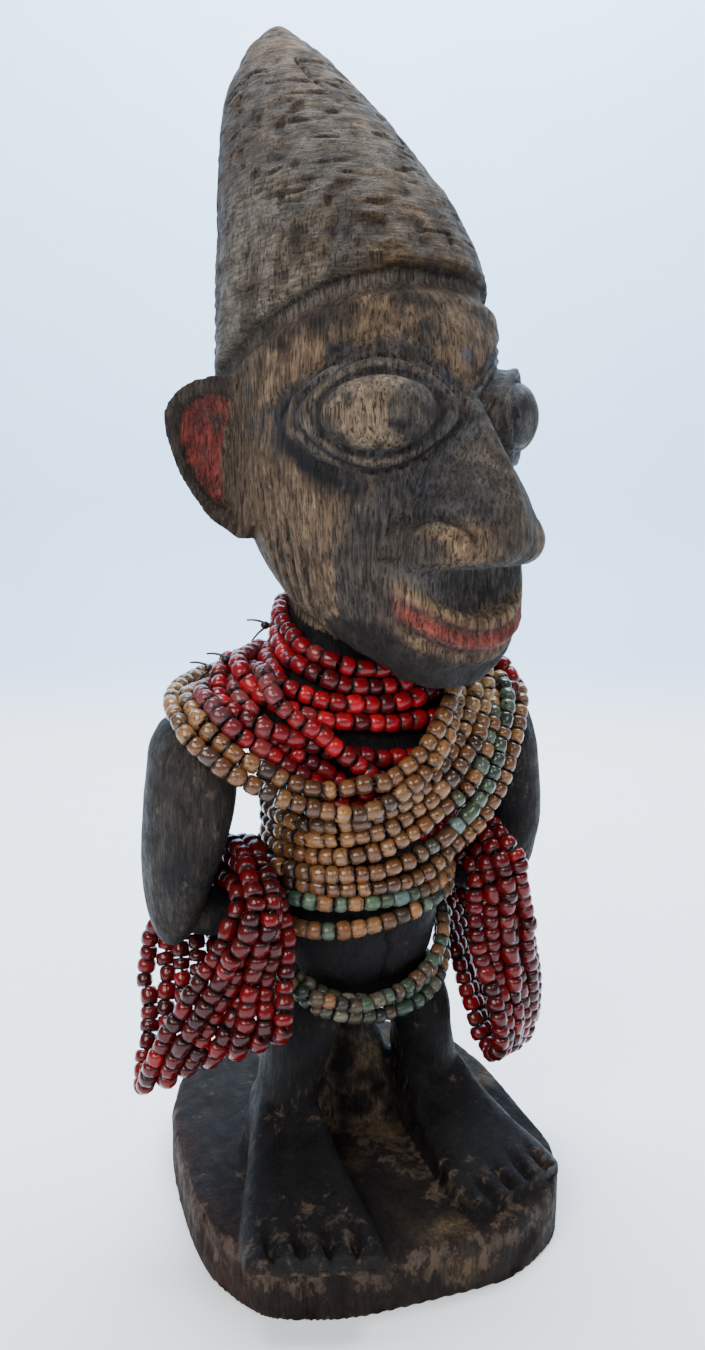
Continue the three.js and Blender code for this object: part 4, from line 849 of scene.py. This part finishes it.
# Bead strings.
def string_centres(solid):
    """Middle of each ring of a plain strand's solid, in order along it: its corners are gathered into
    rings by distance, and the rings follow one another along its edges."""
    mesh = solid.data
    keys, inverse = np.unique(np.round(mesh_rows(mesh.vertices, "co") / MM, 2), axis=0, return_inverse=True)
    gap = np.linalg.norm(keys[:, None] - keys[None], axis=2)
    ring = -np.ones(len(keys), int)
    count = 0
    for i in range(len(keys)):
        if ring[i] < 0:
            ring[np.argsort(gap[i])[:CORD_CORNERS]] = count
            count += 1
    loops = np.empty(len(mesh.loops), np.int32)
    mesh.loops.foreach_get("vertex_index", loops)
    tri = ring[inverse.ravel()[loops.reshape(-1, 3)]]
    link = np.zeros((count, count), int)
    for a, b in ((0, 1), (1, 2), (2, 0)):
        np.add.at(link, (tri[:, a], tri[:, b]), 1)
    link = link + link.T
    order = [0]
    while len(order) < count:
        ahead = [k for k in np.argsort(-link[order[-1]]) if k not in order and link[order[-1], k] > 0]
        if not ahead:
            break
        order.append(int(ahead[0]))
    return np.array([keys[ring == k].mean(0) for k in order])


def measured(line):
    """A closed line with its first point again at the end, and the distance run at each point."""
    ends = np.concatenate([line, line[:1]])
    return ends, np.concatenate([[0], np.cumsum(np.linalg.norm(np.diff(ends, axis=0), axis=1))])


def spots(at, ends, run):
    """Places at the wanted distances along a measured line."""
    return np.stack([np.interp(at, run, ends[:, k]) for k in range(3)], 1)


def even(line, count):
    """The same closed line at evenly spaced places."""
    ends, run = measured(line)
    return spots(np.linspace(0, run[-1], count, endpoint=False), ends, run)


def closed_curve(points, count):
    """Closed curve through the points (cubic pieces whose slopes are half the run between neighbours),
    with the wanted number of evenly spaced places."""
    u = np.linspace(0, 1, 24, endpoint=False)[:, None]
    a, b, c, d = (np.roll(points, k, 0)[:, None] for k in (1, 0, -1, -2))
    dense = b + ((c - a) * u + (2 * a - 5 * b + 4 * c - d) * u ** 2 + (3 * b - a - 3 * c + d) * u ** 3) / 2
    return even(dense.reshape(-1, 3), count)


def thread_beads(strand, centres):
    """Threads a closed string with beads: lengths vary by about a tenth with a long one now and then, and
    are fitted to the loop. Sets each bead's middle, half length and radius."""
    ends, run = measured(closed_curve(centres, 600))
    count = int(round(run[-1] / (strand.length * 1.04)))
    lengths = strand.length * (1 + RNG.normal(0, .10, count).clip(-.25, .3))
    lengths[RNG.random(count) < .035] *= 1.5
    lengths *= run[-1] / lengths.sum()
    strand.radius = strand.diameter / 2 * (1 + RNG.normal(0, .045, count).clip(-.12, .1))
    strand.middle = spots((np.cumsum(lengths) - lengths / 2) % run[-1], ends, run)
    strand.half = lengths / 2


def settle_beads(strands, wood, rounds):
    """Draws each string taut (a bead moves towards the middle of its two neighbours), then pushes beads
    of different strings apart and every bead off the wood, over and over. Beads of different strings that
    lie a little apart are also drawn together, and all but the hip strings and the loops that hang from the
    hands sink behind the neck."""
    place = np.concatenate([s.middle for s in strands])
    radius = np.concatenate([s.radius for s in strands])
    owner = np.concatenate([np.full(len(s.middle), k) for k, s in enumerate(strands)])
    taut = np.concatenate([np.full(len(s.middle), s.taut) for s in strands])[:, None]
    start = np.cumsum([0] + [len(s.middle) for s in strands])
    after, before = np.arange(len(place)) + 1, np.arange(len(place)) - 1
    for a, b in zip(start[:-1], start[1:]):
        after[b - 1], before[a] = a, b - 1
    behind = (FIGURE_AT[1] - place[:, 1] < 7) & (place[:, 2] > 104 + BASE_THICK)
    drop = np.zeros((len(place), 3))
    drop[:, 2] = BEAD_SINK * behind * (taut[:, 0] > .1)
    need = (radius[:, None] + radius) * BEAD_TOUCH
    other = owner[:, None] < owner
    worn = other & (taut.T > .01) & (taut > .01)
    for step in range(rounds):
        if step < rounds - 4:
            place = place + taut * ((place[after] + place[before]) / 2 - place)
        sq = (place ** 2).sum(1)
        d2 = sq[:, None] + sq - 2 * place @ place.T
        push = np.zeros_like(place)
        beside = (d2 >= need ** 2) & (d2 < (need + BEAD_REACH) ** 2) & worn
        for pairs, strength, least in (((d2 < need ** 2) & other, BEAD_PART, 1e-6), (beside, BEAD_JOIN, 0)):
            i, j = np.nonzero(pairs)
            away = place[i] - place[j]
            gap = np.linalg.norm(away, axis=1, keepdims=True) + least
            move = away / gap * (need[i, j][:, None] - gap) * strength
            np.add.at(push, i, move)
            np.add.at(push, j, -move)
        place = place + np.clip(push, -BEAD_STEP, BEAD_STEP) - drop * (step < rounds - 6)
        for k, p in enumerate(place):
            found, spot, normal, _ = wood.closest_point_on_mesh((p * MM).tolist(), distance=.006)
            if found:
                depth = float(np.dot(p - np.array(spot) / MM, normal))
                if depth < radius[k]:
                    place[k] = p + np.array(normal) * (radius[k] - depth) * .9
    for s, a, b in zip(strands, start[:-1], start[1:]):
        s.middle = place[a:b]


def about(ahead, helper):
    """Two directions square to a run, which a circle round it is drawn with."""
    out = unit(np.cross(ahead, helper))
    return out, np.cross(ahead, out)


def thread_ends(strand):
    """Tied ends of a neck string's thread, where it shows furthest to the right and back: a knot (a short
    barrel) and two thin ends, each a parabola that bends down, tapering to its tip."""
    k = int(np.argmax(strand.middle @ KNOT_SIDE))
    root = strand.middle[k] + KNOT_SIDE * strand.radius[k] * .9
    s = np.linspace(0, 1, 9)[:, None]
    t = turn(6)[None, :, None]
    parts = []
    for reach, rise, sag, thick in KNOT_ENDS:
        line = root + s * (reach * KNOT_SIDE + rise * .4 * KNOT_BACK)
        line[:, 2:] += s * rise - s ** 2 * sag
        ahead = unit(np.gradient(line, axis=0))
        out, over = about(ahead, KNOT_BACK)
        barrel = thick > .9
        bulge = np.sqrt(np.clip(1 - (2 * s - 1) ** 2, .06, 1)) if barrel else 1 - .4 * s
        r = (thick * bulge)[:, None]
        parts.append(grid_mesh(line[:, None] + r * (out[:, None] * np.cos(t) + over[:, None] * np.sin(t))))
    return joined(parts)


def strand_object(strand, palette):
    """One string: every bead is its profile (half length by radius) turned about the thread's run, all
    beads at once, with a thin dark thread through them. Each bead is a little askew, out of round and cut
    at a slant."""
    c, half, radius = strand.middle, strand.half[:, None, None], strand.radius[:, None, None]
    n, rows = len(c), len(PROFILE)
    ahead = unit(unit(np.roll(c, -1, 0) - np.roll(c, 1, 0)) + RNG.normal(0, .07, (n, 3)))
    out, over = about(ahead, np.where(np.abs(ahead[:, 2:3]) > .8, [[1.0, 0, 0]], [[0, 0, 1.0]]))
    t = turn(BEAD_SIDES) + RNG.random((n, 1)) * 2
    cos, sin = np.cos(t)[:, None], np.sin(t)[:, None]
    squash = 1 + RNG.normal(0, .03, (n, 1, 1))
    lean = RNG.normal(0, .06, (n, 1, 1))
    along = PROFILE[:, :1] * half + lean * cos * radius
    r = PROFILE[:, 1:] * radius
    verts = c[:, None, None] + sum(
        size[..., None] * way[:, None, None]
        for size, way in ((along, ahead), (r * cos * squash, out), (r * sin / squash, over)))
    verts = verts.reshape(-1, 3)
    per = rows * BEAD_SIDES
    quad = outward(verts[:per], ring_quads(rows, BEAD_SIDES, True)[:, [0, 3, 2, 1]])
    quads = (quad + (np.arange(n) * per)[:, None, None]).reshape(-1, 4)
    cord, triangles = tube(even(c, 3 * n), THREAD_RADIUS, 5)
    if strand.name in KNOTTED:
        cord, triangles = joined([(cord, triangles), thread_ends(strand)])
    # One draw for each bead that nothing reads keeps the later strings' draws in their places.
    RNG.random(n)
    hole = np.tile(np.repeat(np.abs(PROFILE[:, 0]) ** 2 * .95, BEAD_SIDES), n)
    obj = mesh_object("beads_" + strand.name, np.concatenate([verts, cord]), quads, triangles + len(verts))
    add_attribute(obj.data, "bead_colour", "FLOAT_COLOR",
                  np.concatenate([np.repeat(palette, per, 0), np.tile(tint(*THREAD), (len(cord), 1))]))
    add_attribute(obj.data, "bead_end", "FLOAT", np.concatenate([hole, np.ones(len(cord))]))
    return obj


def mixed(count, choices, shares):
    """One colour for each bead, drawn from a few glass colours by their shares, a little lighter or
    darker each time."""
    pick = RNG.choice(len(choices), count, p=np.array(shares) / sum(shares))
    base = np.array([tint(*c) for c in choices])[pick]
    return base * np.exp(RNG.normal(0, .18, (count, 1)))


def bead_palette(group, order, middle):
    """Colours along one string: red glass, dusty where it lies on the shoulders; tan glass, cream on the
    left shoulder; green and teal beads among the tan at the waist and on the left."""
    X, F, Z, _, _ = frames_of(middle)
    n = len(middle)
    red, tan = mixed(n, RED, (5, 3, 3, 2, 1)), mixed(n, TAN, (5, 4, 3, 2, 1))
    green = mixed(n, GREEN, (4, 3, 3, 2))
    if "wrist" in group:
        return lay(red, tint(120, 22, 30), smooth(RNG.random(n), .7, 1.0) * .6) * [.45, .25, .26]
    if group in ("neck_string", "shoulder_string"):
        dusty = smooth(Z - .25 * X - .25 * F, 108, 122) * smooth(Z, 104, 112) * (group == "shoulder_string")
        return lay(red, tint(98, 58, 60), np.maximum(dusty, smooth(-F, -2, 12) * .8) * .7)
    if group in ("collar_string", "sash_string"):
        cream = smooth(Z, 104, 116) * smooth(np.abs(X), 8, 20) * np.where(X > 0, .75, .35)
        tan = lay(tan, tint(186, 160, 124), cream) * [.64, .54, .44]
        if group == "sash_string" and order == 3:
            return lay(tan, green * .85, smooth(X, -2, 14) * (RNG.random(n) < .88))
        if group == "sash_string" and order == 2:
            return lay(tan, green, smooth(X, 6, 16) * (RNG.random(n) < .35))
        return tan
    if group == "waist_string":
        here = np.where(X < 4, .75, .12) if order == 0 else np.where(np.abs(X + 4) > 10, .3, .12)
        return lay(tan * [.70, .60, .50], green, RNG.random(n) < here)
    brown = mixed(n, BROWN, (3, 3, 2, 2))
    bright = RNG.random(n) < .3 + .35 * (X > 4)
    choice = (RNG.random(n) < .5)[:, None]
    return lay(brown, np.where(choice, green * 1.05, tan * .8), bright)


def bead_strings(wood):
    """All the strings: rings of the CAD strands give the routes, the beads settle on the carved wood."""
    strands = []
    for group, (diameter, length, taut, _) in GROUPS.items():
        order = 0
        while f"{group}_{order + 1}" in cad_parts:
            strands.append(SimpleNamespace(name=f"{group}_{order + 1}", group=group, order=order,
                                           diameter=diameter, length=length, taut=taut))
            thread_beads(strands[-1], string_centres(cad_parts[strands[-1].name]))
            order += 1
    settle_beads(strands, wood, 18)
    for s in strands:
        thread_beads(s, s.middle)
    settle_beads(strands, wood, 12)
    return [(strand_object(s, bead_palette(s.group, s.order, s.middle)), s) for s in strands]


# Materials.
def wire(item, inputs):
    """Sets a node's inputs, by name or number: to a value, or by a link from another node's output."""
    for key, value in inputs.items():
        if isinstance(value, bpy.types.NodeSocket):
            item.id_data.links.new(value, item.inputs[key])
        else:
            item.inputs[key].default_value = value


def node(tree, kind, inputs, give=0, **settings):
    """Adds a shader node with its settings and inputs, and gives one of its outputs."""
    item = tree.nodes.new("ShaderNode" + kind)
    for key, value in settings.items():
        setattr(item, key, value)
    wire(item, inputs)
    return item.outputs[give]


def attribute(tree, name, give="Fac"):
    """Number or colour of an attribute of the mesh."""
    return node(tree, "Attribute", {}, give, attribute_name=name)


def noise(tree, scale, detail, rough, place=None):
    """Fractal noise at the object's own place."""
    place = node(tree, "TexCoord", {}, "Object") if place is None else place
    return node(tree, "TexNoise", {"Vector": place, "Scale": scale, "Detail": detail, "Roughness": rough})


def ramp(tree, value, low, high, bottom=0.0, top=1.0, kind="SMOOTHSTEP"):
    """Brings a value from one span to another."""
    return node(tree, "MapRange", {"Value": value, "From Min": low, "From Max": high, "To Min": bottom,
                                   "To Max": top}, interpolation_type=kind)


def maths(tree, operation, *inputs):
    """One sum with numbers or outputs."""
    return node(tree, "Math", dict(enumerate(inputs)), operation=operation)


def blend(tree, mask, under, over):
    """Lays one colour over another by a mask."""
    return node(tree, "Mix", {0: mask, 6: under, 7: over}, 2, data_type="RGBA")


def grime_group():
    """Node group: mixes a dirt colour into a coat by a mask broken up with fine noise, and roughens it."""
    tree = bpy.data.node_groups.new("settled_grime", "ShaderNodeTree")
    for name, kind, value in (("Coat", "Color", (.5, .5, .5, 1)), ("Dirt", "Color", (.03, .02, .02, 1)),
                              ("Mask", "Float", .5), ("Scale", "Float", 900.0), ("Roughness", "Float", .3)):
        item = tree.interface.new_socket(name, in_out="INPUT", socket_type="NodeSocket" + kind)
        item.default_value = value
    for name, kind in (("Coat", "Color"), ("Roughness", "Float"), ("Height", "Float")):
        tree.interface.new_socket(name, in_out="OUTPUT", socket_type="NodeSocket" + kind)
    start = tree.nodes.new("NodeGroupInput").outputs
    height = noise(tree, start["Scale"], 4.0, .65)
    mask = maths(tree, "MULTIPLY", ramp(tree, height, .38, .66), start["Mask"])
    wire(tree.nodes.new("NodeGroupOutput"), {
        "Coat": blend(tree, mask, start["Coat"], start["Dirt"]),
        "Roughness": maths(tree, "MULTIPLY_ADD", mask, .45, start["Roughness"]), "Height": height})
    return tree


def new_material(name):
    """A material, its tree and its shader."""
    mat = bpy.data.materials.new(name)
    mat.use_nodes = True
    return mat, mat.node_tree, mat.node_tree.nodes["Principled BSDF"]


def bead_material(name, grime, dirt, speckle, rough, coat):
    """Glass beads: each bead's own colour, dark specks and veins, dirt packed round the holes."""
    mat, tree, skin = new_material(name)
    dirt = (*dirt, 1)
    specks = ramp(tree, noise(tree, 1150.0, 2.0, .7), .58, .68, 0.0, speckle)
    glass = blend(tree, specks, attribute(tree, "bead_colour", "Color"), dirt)
    mask = maths(tree, "MULTIPLY_ADD", attribute(tree, "bead_end"), 1.9, .06)
    dirty = node(tree, "Group", {"Coat": glass, "Dirt": dirt, "Mask": mask, "Scale": 620.0,
                                 "Roughness": rough}, node_tree=grime).node.outputs
    bump = node(tree, "Bump", {"Strength": .22, "Distance": .0002, "Height": dirty["Height"]})
    wire(skin, {"Base Color": dirty["Coat"], "Roughness": dirty["Roughness"], "Normal": bump,
                "Coat Weight": coat, "Coat Roughness": .08, "Specular IOR Level": .16})
    return mat


def wood_material(grime):
    """Carved wood: the coat from its attribute, darkened and lightened by upright fibres (level ones on
    the cap), fine cracks between them, brown where handling wore it, grime, and a bump of the fibres."""
    mat, tree, skin = new_material("carved_wood")

    def fibre(stretch, scale, detail, shift):
        """Noise stretched along the wood's run, shifted so that no two are alike."""
        place = node(tree, "Mapping", {"Vector": node(tree, "TexCoord", {}, "Object"), "Scale": stretch,
                                       "Location": (shift, shift * .7, shift * .3)})
        return noise(tree, scale, detail, .72, place)

    fibres = node(tree, "Mix", {0: attribute(tree, "level_grain"), 2: fibre((1, 1, .2), 1150.0, 7.0, .1),
                                3: fibre((.35, .35, 1.6), 800.0, 5.0, .4)}, data_type="FLOAT")
    shade = node(tree, "VectorMath", {0: attribute(tree, "coat", "Color"),
                                      "Scale": ramp(tree, fibres, .32, .68, .2, 1.8, "LINEAR")},
                 operation="SCALE")
    slit = ramp(tree, fibre((1, 1, .11), 2100.0, 2.0, .8), .57, .63, 0.0, .8)
    dark = blend(tree, slit, shade, (.014, .011, .01, 1))
    mottle = fibre((1, 1, .6), 330.0, 10.0, 1.3)
    patch = maths(tree, "MULTIPLY_ADD", attribute(tree, "worn_patch"), .19, mottle)
    bare = blend(tree, ramp(tree, patch, .63, .74, 0.0, .8), dark, (.092, .062, .042, 1))
    dirty = node(tree, "Group", {"Coat": bare, "Dirt": (.012, .010, .010, 1), "Mask": .5, "Scale": 240.0,
                                 "Roughness": attribute(tree, "coat_rough")}, node_tree=grime).node.outputs
    height = maths(tree, "SUBTRACT", fibres, slit)
    wire(skin, {"Base Color": dirty["Coat"], "Roughness": maths(tree, "MULTIPLY", dirty["Roughness"], .92),
                "Normal": node(tree, "Bump", {"Strength": .9, "Distance": .0009, "Height": height}),
                "Specular IOR Level": .11})
    return mat


def dress(obj, mat, cad_node):
    """Gives a piece its material, hides the CAD node that it stands for and hangs the piece from the root
    body.
    """
    obj.data.materials.clear()
    obj.data.materials.append(mat)
    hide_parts(cad_node)
    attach(obj, "root")


def sweep():
    """Pale floor that curves up into a backdrop: a straight run, a quarter circle, and a straight rise."""
    bend = np.linspace(0, np.pi / 2, 24)[1:]
    rise = np.linspace(0, FLOOR_REACH, 12)[1:]
    flat = np.linspace(-FLOOR_REACH, FLOOR_BEND, 30)
    wall = np.full(len(rise), FLOOR_BEND + FLOOR_ROUND)
    back = np.concatenate([flat, FLOOR_BEND + FLOOR_ROUND * np.sin(bend), wall])[:, None]
    up = np.concatenate([0 * flat, FLOOR_ROUND * (1 - np.cos(bend)), FLOOR_ROUND + rise])[:, None]
    across, back, up = np.broadcast_arrays(np.linspace(-FLOOR_REACH, FLOOR_REACH, 24)[None, :], back, up)
    points = np.stack([*spun(across, back, FLOOR_TURN), up - .05], -1)
    quads = ring_quads(len(back), 24).reshape(-1, 24, 4)[:, :-1].reshape(-1, 4)
    obj = mesh_object("pale_sweep", points.reshape(-1, 3), quads)
    mat, tree, skin = new_material("pale_floor")
    blue = blend(tree, noise(tree, 9.0, 3.0, .5), (.50, .71, .96, 1), (.57, .77, 1.0, 1))
    height = node(tree, "SeparateXYZ", {0: node(tree, "TexCoord", {}, "Object")}, "Z")
    wire(skin, {"Base Color": blend(tree, ramp(tree, height, .002, .07), (.93, .95, .98, 1), blue),
                "Roughness": .8})
    obj.data.materials.append(mat)


def area_light(name, place, aim, size, watts, colour):
    """Lamp with a rectangular face, turned from its place towards its aim."""
    data = bpy.data.lights.new(name, "AREA")
    data.shape, data.size, data.size_y = "RECTANGLE", size[0], size[1]
    data.energy, data.color = watts, colour
    obj = bpy.data.objects.new(name, data)
    bpy.context.scene.collection.objects.link(obj)
    obj.location = place
    x, y, z = np.array(aim) - np.array(place)
    obj.rotation_euler = (np.pi / 2 + np.arctan2(z, np.hypot(x, y)), 0, np.arctan2(-x, y))


# The object.
grime = grime_group()
figure = carve_figure()
dress(figure, wood_material(grime), "figure")
GLASS = {
    "red_beads": bead_material("red_glass", grime, (.014, .005, .005), .4, .13, .32),
    "tan_beads": bead_material("tan_glass", grime, (.020, .010, .006), .9, .2, .55),
    "mixed_beads": bead_material("olive_glass", grime, (.025, .022, .014), .7, .26, .25),
    "dark_beads": bead_material("dark_glass", grime, (.016, .014, .012), .5, .26, .25)}
for beads, strand in bead_strings(figure):
    slot = GROUPS[strand.group][-1]
    dress(beads, GLASS[slot], strand.name)

# Floor, light and camera.
sweep()
world = bpy.data.worlds.new("soft_daylight")
bpy.context.scene.world = world
world.use_nodes = True
wire(world.node_tree.nodes["Background"], {"Color": (.80, .88, 1.0, 1), "Strength": .37})
area_light("window_left", (-.72, -.42, .66), (0, 0, .15), (.5, .6), 10.8, (1, .97, .93))
area_light("window_front", (.10, -.90, .80), (0, 0, .14), (.5, .3), 3.5, (.95, .98, 1))
area_light("rim_right", (.7, .25, .5), (0, 0, .16), (.4, .8), 1.8, (.9, .95, 1))
area_light("glint", (-.42, -.62, .50), (0, 0, .12), (.07, .07), 1.2, (1, 1, 1))
area_light("backdrop_wash", (.10, .16, .85), (.26, .50, .18), (.9, .3), 21.0, (.86, .94, 1))

# The camera looks along a level direction and a little down.
LOOK_ALONG, LOOK_DOWN = (.469, .883), 7.6
camera = bpy.data.cameras.new("photo_view")
camera.lens, camera.sensor_fit, camera.sensor_height, camera.sensor_width = 26.0, "VERTICAL", 36.0, 36.0
camera.clip_start, camera.clip_end = .01, 10
view = bpy.data.objects.new("photo_view", camera)
bpy.context.scene.collection.objects.link(view)
view.location = (-.1116, -.2099, .1615)
view.rotation_euler = (radians(90 - LOOK_DOWN), 0, -np.arctan2(*LOOK_ALONG))
bpy.context.scene.camera = view
